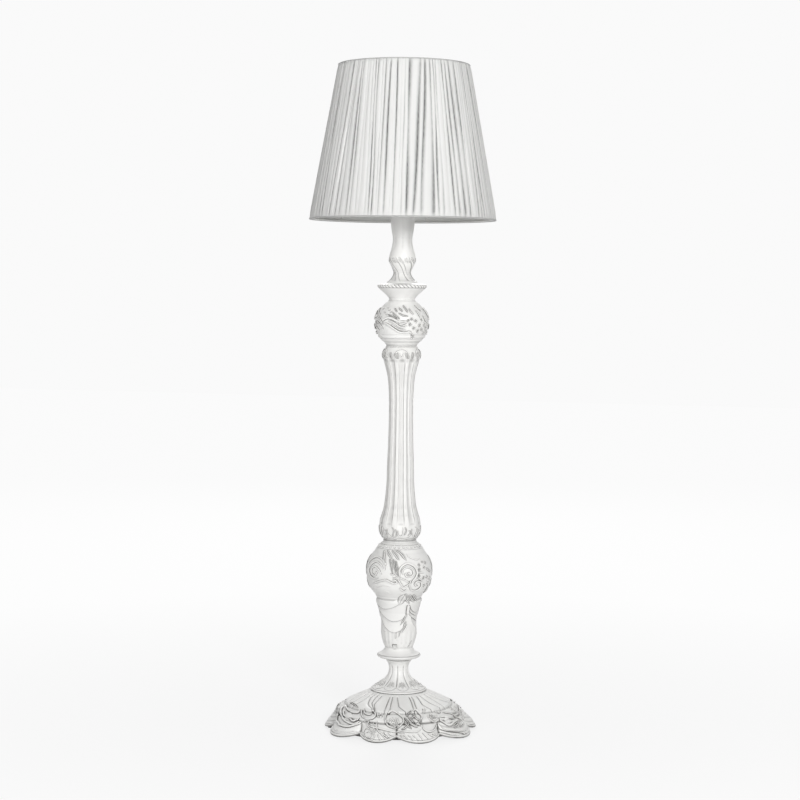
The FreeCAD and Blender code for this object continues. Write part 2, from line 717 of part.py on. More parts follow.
def make_knop():
    height, half = size("knop_height"), size("knop_half_height")
    radius = size("knop_radius")
    low, high = size("knop_foot_radius"), size("knop_head_radius")
    span = half * (math.sin(math.acos(low / radius)) + math.sin(math.acos(high / radius)))
    foot = (height - span) / 2
    outline = [(low, 0)] + ball(radius, half, low, high, foot, 10) + [(high, height)]
    node("leaf_knop", shaped("knop", turned(outline + tube_bore(height), CASTING_SIDES), KNOP))


def make_pan():
    height, rim = size("pan_height"), size("pan_radius")
    foot = (size("knop_head_radius"), 0)
    under = (rim, height - size("pan_rim") - size("pan_bevel"))
    outline = [foot] + flare(foot, under, 4, 1.25)
    outline += [(rim, height - size("pan_bevel")), (rim - size("pan_bevel"), height)]
    node("drip_pan", shaped("pan", turned(outline + tube_bore(height), RIM_SIDES), PAN))


def make_stem():
    height = size("stem_height")
    foot = (size("stem_foot_radius"), 0)
    low = (size("stem_low_waist_radius"), size("stem_low_waist_height"))
    bulge = (size("stem_bulge_radius"), size("stem_bulge_height"))
    high = (size("stem_high_waist_radius"), size("stem_high_waist_height"))
    lip = (size("stem_lip_radius"), height - size("stem_lip"))
    outline = flare(low, foot, 3, 1.9)[::-1] + [low] + ease(low, bulge, 4)
    outline += ease(bulge, high, 4) + ease(high, lip, 3) + [(lip[0], height)]
    node("candle_stem", shaped("stem", turned(outline + tube_bore(height), SLIM_SIDES), STEM))

    cap, thick = size("stem_cap_radius"), size("stem_cap_thickness")
    outline = [(cap, 0), (cap, thick / 2), (cap - 4, thick)]
    node("stem_cap", shaped("cap", turned(outline + tube_bore(thick), SLIM_SIDES), CAP))


# ---- clamping tube ------------------------------------------------------------------------

def make_tube():
    length = f"{HOLDER_CAP} + sizes.tube_grip - ({TUBE})"
    outside = cylinder("tube_outside", "sizes.tube_radius", length, "0", "0", TUBE)
    bore = cylinder("tube_bore", "sizes.tube_bore", f"{length} + 2 * {PAST}", "0", "0",
                    f"{TUBE} - {PAST}")
    window = box("tube_window", "sizes.window_width", f"sizes.tube_radius + {PAST}",
                 "sizes.window_height", "-sizes.window_width / 2", f"-sizes.tube_radius - {PAST}",
                 SWITCH + " - sizes.window_height / 2")
    node("centre_tube", cut("centre_tube", outside, [bore, window]))

    washers, nuts = [], []
    for where, washer_seat, nut_seat in (("low", LOW_WASHER, LOW_NUT),
                                         ("high", HIGH_WASHER, HIGH_NUT)):
        washer = prism(f"{where}_washer_disc", SMALL_SIDES, "sizes.washer_radius",
                       "sizes.washer_thickness", "0", "0", washer_seat)
        hole = prism(f"{where}_washer_hole", SMALL_SIDES, "sizes.tube_radius + sizes.washer_play",
                     f"sizes.washer_thickness + 2 * {PAST}", "0", "0", f"{washer_seat} - {PAST}")
        washers.append(cut(f"{where}_washer", washer, [hole]))
        hexagon = prism(f"{where}_nut_hexagon", 6, "sizes.nut_radius", "sizes.nut_height",
                        "0", "0", nut_seat)
        thread = cylinder(f"{where}_nut_thread", "sizes.tube_radius + sizes.thread_play",
                          f"sizes.nut_height + 2 * {PAST}", "0", "0", f"{nut_seat} - {PAST}")
        nuts.append(cut(f"{where}_nut", hexagon, [thread]))
    node("tube_washers", group("tube_washers", washers))
    node("tube_nuts", group("tube_nuts", nuts))


# ---- switch and wiring --------------------------------------------------------------------

def make_switch():
    frame_side, body_side = "sizes.switch_frame_side", "sizes.switch_body_side"
    inner_side = "(sizes.button_side + 2 * sizes.switch_play)"
    frame = box("frame_block", frame_side, "sizes.switch_frame_depth", frame_side,
                f"-{frame_side} / 2", "-sizes.switch_face - sizes.switch_frame_depth",
                SWITCH + f" - {frame_side} / 2")
    opening = box("frame_opening", inner_side, f"sizes.switch_frame_depth + 2 * {PAST}",
                  inner_side, f"-{inner_side} / 2",
                  f"-sizes.switch_face - sizes.switch_frame_depth - {PAST}",
                  SWITCH + f" - {inner_side} / 2")
    node("switch_frame", cut("switch_frame", frame, [opening]))

    well = ("(sizes.button_length - sizes.button_proud - sizes.switch_frame_depth"
            " + sizes.button_travel + sizes.switch_play)")
    body = box("body_block", body_side, "sizes.switch_body_depth", body_side,
               f"-{body_side} / 2", "-sizes.switch_face", SWITCH + f" - {body_side} / 2")
    socket = box("body_well", inner_side, f"{well} + {PAST}", inner_side, f"-{inner_side} / 2",
                 f"-sizes.switch_face - {PAST}", SWITCH + f" - {inner_side} / 2")
    node("switch_body", cut("switch_body", body, [socket]))

    side = "sizes.button_side"
    button = box("button_block", side, "sizes.button_length", side, f"-{side} / 2",
                 "-sizes.switch_face - sizes.switch_frame_depth - sizes.button_proud",
                 SWITCH + f" - {side} / 2")
    crowned = doc.addObject("Part::Fillet", "button_crowned")
    crowned.Base = button
    doc.recompute()
    front = [number for number, edge in enumerate(button.Shape.Edges, start=1)
             if abs(edge.BoundBox.YMax - button.Shape.BoundBox.YMin) < 1e-6]
    crowned.Edges = [(number, 0.6, 0.6) for number in front]
    node("switch_button", crowned)


def make_leads():
    radius = size("lead_radius")
    reach, floor = size("block_reach"), mm(BASE + " + sizes.lead_floor")
    clamp_z = mm(WEIGHT + " - sizes.block_height / 2")
    top, end = mm(HOLDER_CAP + " + sizes.tube_grip"), mm(HOLDER)
    switch_back = -size("switch_face") + size("switch_body_depth")
    switch_z = mm(SWITCH)
    terminal = 2.9
    in_tube = {"neutral_lead": Vector(0.6, 2.4, 0), "feed_lead": Vector(-1.8, -0.6, 0),
               "switched_lead": Vector(1.8, -0.6, 0)}

    def from_block(x, low_x, bore):
        return [Vector(x, reach, clamp_z), Vector(x, reach - 14, clamp_z),
                Vector(low_x, reach - 28, floor + 1), bore + Vector(0, 0, floor)]

    def to_holder(bore, x):
        return [bore + Vector(0, 0, top + 1), Vector(x, 3, top + 7), Vector(x, 3, end)]

    neutral, feed, switched = (in_tube[name] for name in in_tube)
    routes = {
        "neutral_lead": from_block(5, 2, neutral) + to_holder(neutral, 5.5),
        "feed_lead": from_block(-5, -3, feed) + [feed + Vector(0, 0, switch_z - terminal),
                                                 Vector(feed.x, switch_back,
                                                        switch_z - terminal)],
        "switched_lead": [Vector(switched.x, switch_back, switch_z + terminal),
                          switched + Vector(0, 0, switch_z + terminal)]
        + to_holder(switched, -5.5),
    }
    for name, corners in routes.items():
        path = with_bends(corners, 4 if name != "neutral_lead" else 7, 4)
        length = sum((b - a).Length for a, b in zip(path, path[1:]))
        lead = bent_rod(path, radius, 6)
        section = 6 * radius ** 2 * math.sin(math.pi / 3) / 2
        print(f"{name}: {length:.1f} long, volume {lead.Volume:.1f}, "
              f"section times length {section * length:.1f}")
        node(name, shaped(name + "_run", lead))


# ---- lamp holder and bulb -----------------------------------------------------------------

def make_holder():
    foot, side = size("holder_neck_radius"), size("holder_cap_radius")
    height, wall = size("holder_cap_height"), size("holder_wall")
    bore = size("tube_radius") + size("thread_play")
    floor = size("tube_grip")
    outline = [(foot, 0), (foot, height / 4), (side, height / 2), (side, height),
               (side - wall, height), (side - wall, height / 2 + wall), (bore + wall, floor),
               (bore, floor), (bore, 0)]
    node("holder_cap", shaped("holder_dome", turned(outline, SLIM_SIDES), HOLDER_CAP))

    flange, thread = size("holder_flange_radius"), size("holder_radius")
    inside, height = size("holder_bore"), size("holder_height")
    lift = size("holder_flange")
    outline = [(flange, 0), (flange, lift), (thread, lift), (thread, height - 1),
               (thread - 1, height), (inside, height), (inside, 0)]
    node("holder_body", shaped("holder_shell", turned(outline, SLIM_SIDES), HOLDER))

    edge = inside - 0.2
    height = size("insert_height")
    outline = [(edge, 0), (edge, height), (0, height), (0, 0)]
    node("holder_insert", shaped("insert", turned(outline, SMALL_SIDES), HOLDER))

    outer, wall = size("socket_radius"), size("socket_wall")
    height = size("socket_height")
    outline = [(outer, 0), (outer, height), (outer - wall, height), (outer - wall, 0)]
    node("screw_shell", shaped("shell", turned(outline, SMALL_SIDES), SOCKET))
    width = "sizes.contact_width"
    node("centre_contact", box("contact", width, width, "sizes.contact_thickness",
                               f"-{width} / 2", f"-{width} / 2", SOCKET))


def make_bulb():
    tip, ring = size("bulb_tip"), size("bulb_insulator")
    cap, cap_height = size("bulb_cap_radius"), size("bulb_cap_height")
    tip_radius = size("bulb_tip_radius")
    outline = [(tip_radius, 0), (tip_radius, tip), (0, tip), (0, 0)]
    node("bulb_contact", shaped("tip", turned(outline, 12), BULB))
    outline = [(tip_radius + 1, tip), (cap - 1, tip + ring), (0, tip + ring), (0, tip)]
    node("bulb_insulator", shaped("ring", turned(outline, SMALL_SIDES), BULB))
    low, high = tip + ring, tip + ring + cap_height
    outline = [(cap - 1, low), (cap, low + 1), (cap, high), (0, high), (0, low)]
    node("bulb_cap", shaped("screw_cap", turned(outline, SMALL_SIDES), BULB))

    radius, neck, length = size("bulb_radius"), size("bulb_neck"), size("bulb_length")
    middle = high + length - radius
    tilt = math.radians(35)
    swell = (radius * math.cos(tilt), middle - radius * math.sin(tilt))
    outline = [(cap - 0.5, high), (cap, high + neck / 3)] + ease((cap, high + neck / 3), swell, 3)
    steps = 7
    for step in range(1, steps + 1):
        turn = -tilt + (math.pi / 2 + tilt) * step / steps
        outline.append((radius * max(0, math.cos(turn)), middle + radius * math.sin(turn)))
    outline[-1] = (0, high + length)
    outline.append((0, high))
    node("bulb_glass", shaped("glass", turned(outline, SMALL_SIDES), BULB))


# ---- shade --------------------------------------------------------------------------------

def frame_radius(height):
    """Outside of the wire frame's cone at a height above the lower edge of the cloth."""
    low, high, inset = size("frame_low_radius"), size("frame_high_radius"), size("wire_inset")
    share = (height - inset) / (size("shade_height") - 2 * inset)
    return low + (high - low) * share


def make_frame():
    wire, inset, top = size("wire_radius"), size("wire_inset"), size("shade_height")
    for name, height in (("bottom_ring", inset), ("top_ring", top - inset)):
        outline = circle(wire, frame_radius(height) - wire, height, 6)
        node(name, shaped(name + "_wire", turned(outline, RIM_SIDES), SHADE))

    rib = size("rib_radius")
    gap = wire + 0.2
    low, high = inset + gap, top - inset - gap
    ribs = []
    for number in range(int(size("rib_count"))):
        turn = 2 * math.pi * number / size("rib_count") + math.pi / 6
        ends = []
        for height in (low, high):
            reach = frame_radius(height) - rib - 0.5
            ends.append(Vector(reach * math.cos(turn), reach * math.sin(turn), height))
        ribs.append(shaped(f"rib_{number}", rod(ends[0], ends[1], rib, WIRE_SIDES), SHADE))
    node("shade_ribs", group("shade_ribs", ribs))


def make_fitter():
    outer, thick = size("fitter_radius"), size("fitter_thickness")
    hole = size("holder_radius") + size("holder_play") + 0.4
    plate = turned([(outer, 0), (outer, thick), (hole, thick), (hole, 0)], SLIM_SIDES)
    arm, rise = size("arm_radius"), size("arm_rise")
    start_height = thick / 2
    end_height = start_height + rise
    reach = frame_radius(end_height + size("shade_drop")) - 2 * size("rib_radius") - 0.9
    for number in range(int(size("arm_count"))):
        turn = 2 * math.pi * number / size("arm_count") + math.pi / 6
        way = Vector(math.cos(turn), math.sin(turn), 0)
        path = [way * (outer - 0.6) + Vector(0, 0, start_height),
                way * (outer + 6) + Vector(0, 0, start_height),
                way * reach + Vector(0, 0, end_height)]
        plate = plate.fuse(bent_rod(path, arm, WIRE_SIDES))
    node("shade_fitter", shaped("fitter", plate, FITTER))

    inner = size("holder_radius") + size("holder_play")
    edge, height = size("clamp_radius"), size("clamp_height")
    outline = [(edge, 0), (edge, height - 1), (edge - 1, height), (inner, height), (inner, 0)]
    node("shade_clamp", shaped("clamp", turned(outline, SLIM_SIDES), CLAMP))


def make_cloth():
    height, play = size("shade_height"), size("cloth_play")
    inner = [frame_radius(z) + play for z in (0, height)]
    lining = size("lining_thickness")
    outline = [(inner[0] + lining, 0), (inner[1] + lining, height),
               (inner[1], height), (inner[0], 0)]
    node("shade_lining", shaped("lining", turned(outline, RIM_SIDES), SHADE))

    under = [radius + lining + play + 0.3 for radius in inner]
    valley = [radius + size("cloth_thickness") for radius in under]
    folds = int(size("fold_count"))
    outline = [(valley[0], 0), (valley[1], height), (under[1], height), (under[0], 0)]

    def carve_folds(radius, level, angle):
        step = round(angle / (math.pi / folds))
        outside = radius in valley
        return radius + (size("fold_depth") if outside and step % 2 == 0 else 0), level

    node("shade_cover", shaped("cover", turned(outline, 2 * folds, carve_folds), SHADE))


make_base()
make_grommet()
make_base_fittings()
make_neck()
make_ring()
make_vase()
make_column()
make_knop()
make_pan()
make_stem()
make_tube()
make_switch()
make_leads()
make_holder()
make_bulb()
make_frame()
make_fitter()
make_cloth()
doc.recompute()

faults = [f"{obj.Label}: {obj.State}" for obj in doc.Objects
          if "Invalid" in obj.State or "Error" in obj.State]
for obj in NODES:
    if obj.Shape.isNull() or not obj.Shape.isValid():
        faults.append(f"{obj.Label}: the shape isn't valid")
if faults:
    raise SystemExit("\n".join(faults))

os.makedirs("parts", exist_ok=True)
for obj in NODES:
    obj.Shape.exportStep(f"parts/{obj.Label}.step")
print(len(NODES), "nodes,", sum(len(obj.Shape.Solids) for obj in NODES), "solids")
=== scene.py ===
import math

import bpy
import numpy as np
from mathutils import Matrix, Vector


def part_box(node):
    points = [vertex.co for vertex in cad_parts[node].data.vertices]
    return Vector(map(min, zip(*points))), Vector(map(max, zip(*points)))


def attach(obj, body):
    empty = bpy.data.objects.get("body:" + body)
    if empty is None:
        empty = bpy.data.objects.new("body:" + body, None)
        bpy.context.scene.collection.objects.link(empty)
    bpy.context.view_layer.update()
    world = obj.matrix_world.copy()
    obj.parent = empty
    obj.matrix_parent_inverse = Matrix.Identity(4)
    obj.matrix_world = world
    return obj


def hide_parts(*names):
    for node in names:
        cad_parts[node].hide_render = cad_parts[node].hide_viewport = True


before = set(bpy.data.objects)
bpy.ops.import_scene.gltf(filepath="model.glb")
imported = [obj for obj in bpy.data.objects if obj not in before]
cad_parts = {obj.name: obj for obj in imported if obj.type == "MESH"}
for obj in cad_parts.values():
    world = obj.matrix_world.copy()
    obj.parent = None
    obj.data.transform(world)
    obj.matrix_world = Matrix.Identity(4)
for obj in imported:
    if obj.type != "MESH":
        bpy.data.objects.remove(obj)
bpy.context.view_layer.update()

# A candlestick floor lamp: carved castings in white resin, with painted shade grey in their
# recesses, and a gathered white shade. Shapes are worked out in millimetres in the frame's axes;
# a turn is an angle from the front, -Y, towards +X.

MM = 0.001


# ---- camera -------------------------------------------------------------------------------

def make_camera():
    """The photograph's camera: 4.8 m away at chest height, a little right of the front."""
    azimuth, distance, height = math.radians(16), 4.8, 1.10
    pitch, yaw, roll = math.radians(-3.298), 0.00057, math.radians(0.53)
    data = bpy.data.cameras.new("camera")
    data.sensor_width = 36
    data.lens = 87.0
    data.clip_end = 60
    camera = bpy.data.objects.new("camera", data)
    bpy.context.scene.collection.objects.link(camera)
    camera.location = (math.sin(azimuth) * distance, -math.cos(azimuth) * distance, height)
    camera.rotation_mode = "XYZ"
    facing = Matrix.Rotation(azimuth + yaw, 4, "Z") @ Matrix.Rotation(math.pi / 2 + pitch, 4, "X")
    facing = facing @ Matrix.Rotation(roll, 4, "Z")
    camera.rotation_euler = facing.to_euler("XYZ")
    bpy.context.scene.camera = camera


# ---- meshes -------------------------------------------------------------------------------

class Pool:
    """Patches in millimetres that end up as one mesh, with how much painted shade each point
    takes.
    """

    def __init__(self):
        self.points, self.quads, self.wash, self.count = [], [], [], 0

    def grid(self, points, wash, around=False, closed=False):
        """rows x columns of points. around joins the last column to the first, closed the
        last row to the first."""
        rows, columns = points.shape[:2]
        index = self.count + np.arange(rows * columns).reshape(rows, columns)
        if around:
            index = np.concatenate([index, index[:, :1]], axis=1)
        if closed:
            index = np.concatenate([index, index[:1]], axis=0)
        quads = np.stack([index[:-1, :-1], index[:-1, 1:], index[1:, 1:], index[1:, :-1]], -1)
        self.points.append(points.reshape(-1, 3))
        self.wash.append(np.broadcast_to(wash, (rows, columns)).ravel())
        self.quads.append(quads.reshape(-1, 4))
        self.count += rows * columns

    def make(self, name, material, body="stand", replaces=(), sharp=50):
        points = np.concatenate(self.points) * MM
        quads = np.concatenate(self.quads)
        mesh = bpy.data.meshes.new(name)
        mesh.vertices.add(len(points))
        mesh.vertices.foreach_set("co", points.astype(np.float32).ravel())
        mesh.loops.add(quads.size)
        mesh.loops.foreach_set("vertex_index", quads.astype(np.int32).ravel())
        mesh.polygons.add(len(quads))
        mesh.polygons.foreach_set("loop_start", np.arange(0, quads.size, 4, dtype=np.int32))
        mesh.polygons.foreach_set("loop_total", np.full(len(quads), 4, dtype=np.int32))
        mesh.polygons.foreach_set("use_smooth", np.ones(len(quads), dtype=bool))
        mesh.update(calc_edges=True)
        mesh.validate()
        # The painted shade amount of each point, as a mesh attribute that the materials read.
        grey = mesh.attributes.new("wash", "FLOAT", "POINT")
        grey.data.foreach_set("value", np.concatenate(self.wash).astype(np.float32))
        mesh.set_sharp_from_angle(angle=math.radians(sharp))
        mesh.materials.append(material)
        piece = bpy.data.objects.new(name, mesh)
        bpy.context.scene.collection.objects.link(piece)
        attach(piece, body)
        if replaces:
            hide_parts(*replaces)
        return piece


def pchip(x, y, at):
    """A smooth curve through points that doesn't overshoot them."""
    h = np.diff(x)
    d = np.diff(y) / h
    m = np.zeros_like(y)
    m[0], m[-1] = d[0], d[-1]
    one, two = 2 * h[1:] + h[:-1], h[1:] + 2 * h[:-1]
    rising = d[:-1] * d[1:] > 0
    safe = np.where(rising, d[:-1], 1), np.where(rising, d[1:], 1)
    m[1:-1] = np.where(rising, (one + two) / (one / safe[0] + two / safe[1]), 0)
    i = np.clip(np.searchsorted(x, at) - 1, 0, len(h) - 1)
    t = (at - x[i]) / h[i]
    return (y[i] * (1 + 2 * t) * (1 - t) ** 2 + m[i] * h[i] * t * (1 - t) ** 2
            + y[i + 1] * t * t * (3 - 2 * t) + m[i + 1] * h[i] * t * t * (t - 1))


def smooth(t):
    """0 below 0 and 1 above 1, with a smooth rise between."""
    t = np.clip(t, 0, 1)
    return t * t * (3 - 2 * t)


def window(x, low, high, soft):
    """1 between low and high, falling to 0 over soft on both sides."""
    return smooth((x - low) / soft + 0.5) * smooth((high - x) / soft + 0.5)


class Surface:
    """A turned surface. runs are smooth stretches of (radius, height) from foot to head, with
    a sharp edge where two of them meet. shape moves radius and height by the turn, and
    relief gives a height above the surface."""

    def __init__(self, runs, spacing, shape=None, relief=None):
        radii, heights = [], []
        for run in runs:
            run = np.array(run, float)
            along = np.concatenate([[0], np.cumsum(np.hypot(*np.diff(run, axis=0).T))])
            steps = max(1, round(along[-1] / spacing))
            at = np.linspace(0, along[-1], steps + 1)
            start = 1 if radii else 0
            radii += list(pchip(along, run[:, 0], at)[start:])
            heights += list(pchip(along, run[:, 1], at)[start:])
        self.r, self.z = np.array(radii), np.array(heights)
        self.s = np.concatenate([[0], np.cumsum(np.hypot(np.diff(self.r), np.diff(self.z)))])
        dr, dz = np.gradient(self.r), np.gradient(self.z)
        length = np.hypot(dr, dz)
        self.nr, self.nz = dz / length, -dr / length
        self.shape, self.relief = shape, relief

    def radius(self, s):
        return np.interp(s, self.s, self.r)

    def level(self, z):
        """How far along the outline a height is first met, from the foot."""
        return float(self.s[np.argmin(np.abs(self.z - z))])

    def raw(self, turn, s):
        turn, s = np.broadcast_arrays(turn, s)
        r, z = np.interp(s, self.s, self.r), np.interp(s, self.s, self.z)
        up = self.relief(turn, r, z) if self.relief else 0
        out, rise = np.interp(s, self.s, self.nr) * up, np.interp(s, self.s, self.nz) * up
        if self.shape:
            r, z = self.shape(turn, r, z)
        r, z = r + out, z + rise
        return np.stack([r * np.sin(turn), -r * np.cos(turn), z], -1)

    def at(self, turn, s, up):
        point = self.raw(turn, s)
        across = self.raw(turn + 0.01, s) - self.raw(turn - 0.01, s)
        along = self.raw(turn, s + 0.5) - self.raw(turn, s - 0.5)
        normal = np.cross(across, along)
        normal /= np.maximum(np.linalg.norm(normal, axis=-1, keepdims=True), 1e-9)
        return point + normal * np.asarray(up)[..., None]


def hollow(points, scale):
    """How far each point of a round grid lies in a hollow, from 0 to 1."""
    total = 0
    across = np.roll(points, -1, 1) - np.roll(points, 1, 1)
    along = np.gradient(points, axis=0)
    normal = np.cross(across, along)
    normal /= np.maximum(np.linalg.norm(normal, axis=-1, keepdims=True), 1e-9)
    for k in (1, 3):
        above = np.concatenate([points[k:], np.repeat(points[-1:], k, 0)])
        below = np.concatenate([np.repeat(points[:1], k, 0), points[:-k]])
        mean = (np.roll(points, k, 1) + np.roll(points, -k, 1) + above + below) / 4
        total = total + ((mean - points) * normal).sum(-1) / (scale * k)
    return np.clip(total, 0, 1)


def cast(name, surface, columns, bore, node, material, scale=0.5, body="stand",
         sharp=50, lines=None):
    """The mesh of a turned surface with a bore through it, in place of a CAD node. Its hollows
    get painted shade, and lines adds more painted shade by turn, radius and height."""
    turns = np.linspace(0, 2 * math.pi, columns, endpoint=False)
    points = surface.raw(turns[None, :], surface.s[:, None])
    # Painted shade in the hollows of the surface.
    wash = hollow(points, scale)
    if lines:
        wash = np.maximum(wash, lines(turns[None, :], surface.r[:, None], surface.z[:, None]))
    ring = np.stack([bore * np.sin(turns), -bore * np.cos(turns), 0 * turns], -1)
    foot, head = ring.copy(), ring.copy()
    foot[:, 2], head[:, 2] = surface.z[0], surface.z[-1]
    points = np.concatenate([foot[None], points, head[None]])
    wash = np.concatenate([wash[:1] * 0, wash, wash[:1] * 0])
    pool = Pool()
    pool.grid(points, wash, around=True, closed=True)
    return pool.make(name, material, body, (node,), sharp)


# ---- carved ornament ----------------------------------------------------------------------
# A part is (across, along, up, grey): four grids, in millimetres on the surface round the
# place it is set to; grey is painted shade in its creases and at its edges. Edges lie SUNK
# under the surface, so a part grows out of it.

SUNK = -0.9
LEAST_RADIUS = 8
STRIP_STEP = 1.6


def disc(radius, height, size=9, grey=0.5):
    """A low dome."""
    a = np.linspace(-1, 1, size)
    x, y = np.meshgrid(a, a)
    u, v = x * np.sqrt(1 - y * y / 2), y * np.sqrt(1 - x * x / 2)
    rho = np.clip(np.hypot(u, v), 0, 1)
    up = np.where(rho > 0.995, SUNK, height * (1 - rho ** 2) ** 0.5)
    # Painted shade grows towards the rim, where the dome meets the surface.
    return u * radius, v * radius, up, grey * rho ** 3


def leaf(length, width, height, lobes=4, bend=0.0, curl=0.0, notch=0.16, rows=22, columns=13,
         belly=0.8):
    """A lobed leaf that points up, with a midrib and side veins."""
    t = np.linspace(0, 1, rows)[:, None]
    x = np.linspace(-1, 1, columns)[None, :]
    beat = 2 * math.pi * lobes
    side = np.abs(x)
    half = width / 2 * np.sin(math.pi * t ** belly) ** 0.65
    half = half * (1 - notch + notch * np.cos(beat * (t - 0.06)))
    u = x * half + bend * t ** 2
    v = length * (t + 0.5 * notch * side ** 1.5 * np.sin(math.pi * t) * (1 - t)) + 0 * x
    ridge = 0.5 + 0.5 * np.cos(beat * (t - 0.30 * side) + 0.4)
    up = height * np.sin(math.pi * t ** 0.9) ** 0.35 * (1 - 0.45 * side ** 2)
    up = up * (0.72 + 0.28 * ridge) - 0.32 * height * np.exp(-(x / 0.13) ** 2) * (1 - t ** 3)
    up = up + curl * t ** 3 * np.sin(math.pi * np.clip(t, 0, 0.97))
    # Painted shade in the hollows between lobes, down the midrib and at the edges.
    grey = 0.65 * (1 - ridge) * side + 0.8 * np.exp(-(x / 0.13) ** 2) + side ** 6
    edge = (side > 0.999) | (t < 1e-6) | (t > 1 - 1e-6)
    return u, v, np.where(edge, SUNK, up), np.clip(grey, 0, 1)


def petal(turn, inner, outer, span, base, top, tilt=0.14):
    """One petal of a rose, cupped, its rim rolled over."""
    t = np.linspace(0, 1, 8)[:, None]
    a = np.linspace(1, -1, 11)[None, :]
    rim = np.abs(a)
    angle = turn + a * span
    far = inner + (outer - inner) * t * (1 - 0.2 * rim ** 3)
    profile = np.interp(t, [0, 0.3, 0.6, 0.85, 0.95, 1], [0.2, 0.52, 0.85, 1.0, 0.9, 0])
    up = base + (top - base) * profile * (1 + tilt * a) * (1 - 0.3 * rim ** 4)
    up = np.where((t > 1 - 1e-6) | (rim > 0.999), base + SUNK, up)
    # Painted shade deep in the flower and at the rolled rim.
    grey = 0.85 * (1 - t) ** 1.5 + 0.6 * rim ** 6 + 0 * up
    return far * np.cos(angle), far * np.sin(angle), up, np.clip(grey, 0, 1)


def rose(radius, height):
    """Three rings of petals round a bud."""
    parts = []
    rings = [(5, 0.40, 1.00, 0.0, 0.62, 0.3), (5, 0.22, 0.74, 0.25, 0.85, 0.95),
             (3, 0.08, 0.46, 0.5, 1.0, 0.2)]
    for count, inner, outer, base, top, start in rings:
        for number in range(count):
            turn = start + 2 * math.pi * number / count
            parts.append(petal(turn, inner * radius, outer * radius, 0.66 * 2 * math.pi / count,
                               base * height - 0.4, top * height))
    u, v, up, grey = disc(0.17 * radius, 0.35 * height)
    parts.append((u, v, up + 0.62 * height, grey))
    return parts


def blossom(radius, height, count=5):
    """A small open flower."""
    parts = []
    for number in range(count):
        u, v, up, grey = petal(2 * math.pi * number / count + 0.3, 0.15 * radius, radius,
                               0.46 * 2 * math.pi / count, 0, height, 0.05)
        parts.append((u, v, up, 0.5 * grey))
    u, v, up, grey = disc(0.3 * radius, 0.5 * height, size=7)
    parts.append((u, v, up + 0.5 * height, grey))
    return parts


def set_parts(pool, surface, turn, s, parts, angle=0.0, lift=0.0):
    """Puts parts on a surface at a turn in degrees and a distance along its outline."""
    a = math.radians(angle)
    for u, v, up, grey in parts:
        x = u * math.cos(a) - v * math.sin(a)
        where = s + u * math.sin(a) + v * math.cos(a)
        turns = math.radians(turn) + x / np.maximum(surface.radius(where), LEAST_RADIUS)
        pool.grid(surface.at(turns, where, up + lift), grey)


def spline(points, steps):
    """A smooth path through points."""
    points = np.array(points, float)
    ends = [2 * points[0] - points[1]], [2 * points[-1] - points[-2]]
    p = np.concatenate([ends[0], points, ends[1]])
    place = np.linspace(0, len(points) - 1 - 1e-9, steps)
    i = place.astype(int)
    t = (place - i)[:, None]
    a, b, c, d = p[i], p[i + 1], p[i + 2], p[i + 3]
    return 0.5 * (2 * b + (c - a) * t + (2 * a - 5 * b + 4 * c - d) * t ** 2
                  + (3 * b - a - 3 * c + d) * t ** 3)


def section(form, x):
    """Height and painted shade across a strip, from one edge, -1, to the other, 1."""
    edge = smooth((np.abs(x) - 0.62) / 0.38)
    if form == "round":
        return np.sqrt(np.maximum(0, 1 - x * x)), edge
    if form == "leaf":
        rib = np.exp(-(x / 0.2) ** 2)
        return np.maximum(0, 1 - x * x) ** 0.5 * (1 - 0.5 * rib), np.maximum(edge, 0.8 * rib)
    if form == "band":
        return np.where(np.abs(x) < 0.95, 0.65 + 0.35 * x * x, 0.4), edge
    return (0.5 * (x + 1)) ** 1.4 * (1 - 0.3 * smooth((x - 0.85) / 0.15)), smooth((x - 0.7) / 0.3)


def strip(pool, surface, path, width, height, form="round", taper=(0.2, 0.2), columns=9,
          lift=0.0):
    """A raised strip along a path of (turn in degrees, distance along the outline). A lip
    rises slowly and drops at its right-hand edge, seen along the path."""
    path = np.array(path, float)
    path[:, 0] = np.radians(path[:, 0])
    fine = spline(path, 12 * len(path))
    r = surface.radius(fine[:, 1])
    length = np.hypot(np.diff(fine[:, 0]) * (r[1:] + r[:-1]) / 2, np.diff(fine[:, 1]))
    along = np.concatenate([[0], np.cumsum(length)])
    steps = max(6, round(along[-1] / STRIP_STEP))
    at = np.linspace(0, along[-1], steps + 1)
    turn, s = np.interp(at, along, fine[:, 0]), np.interp(at, along, fine[:, 1])
    t = at / along[-1]
    r = surface.radius(s)
    way = np.stack([np.gradient(turn) * r, np.gradient(s)], 1)
    way /= np.maximum(np.linalg.norm(way, axis=1, keepdims=True), 1e-9)
    x = -np.cos(np.linspace(0, math.pi, columns))
    fade = np.minimum(np.clip(t / max(taper[0], 1e-6), 0, 1),
                      np.clip((1 - t) / max(taper[1], 1e-6), 0, 1)) ** 0.6
    fade = np.maximum(fade, 0.06)
    half = np.interp(t, np.linspace(0, 1, np.size(width)), np.atleast_1d(width)) / 2 * fade
    tall = np.interp(t, np.linspace(0, 1, np.size(height)), np.atleast_1d(height)) * fade
    off = half[:, None] * x[None, :]
    turns = turn[:, None] + off * way[:, 1:] / np.maximum(r[:, None], LEAST_RADIUS)
    where = s[:, None] - off * way[:, :1]
    profile, grey = section(form, x)
    up = tall[:, None] * profile[None, :] + lift
    up[:, 0] = up[:, -1] = SUNK
    up[0] = up[-1] = SUNK
    if form == "lip":
        up[:, 0] = 0
    pool.grid(surface.at(turns, where, up), grey[None, :] + 0 * up)


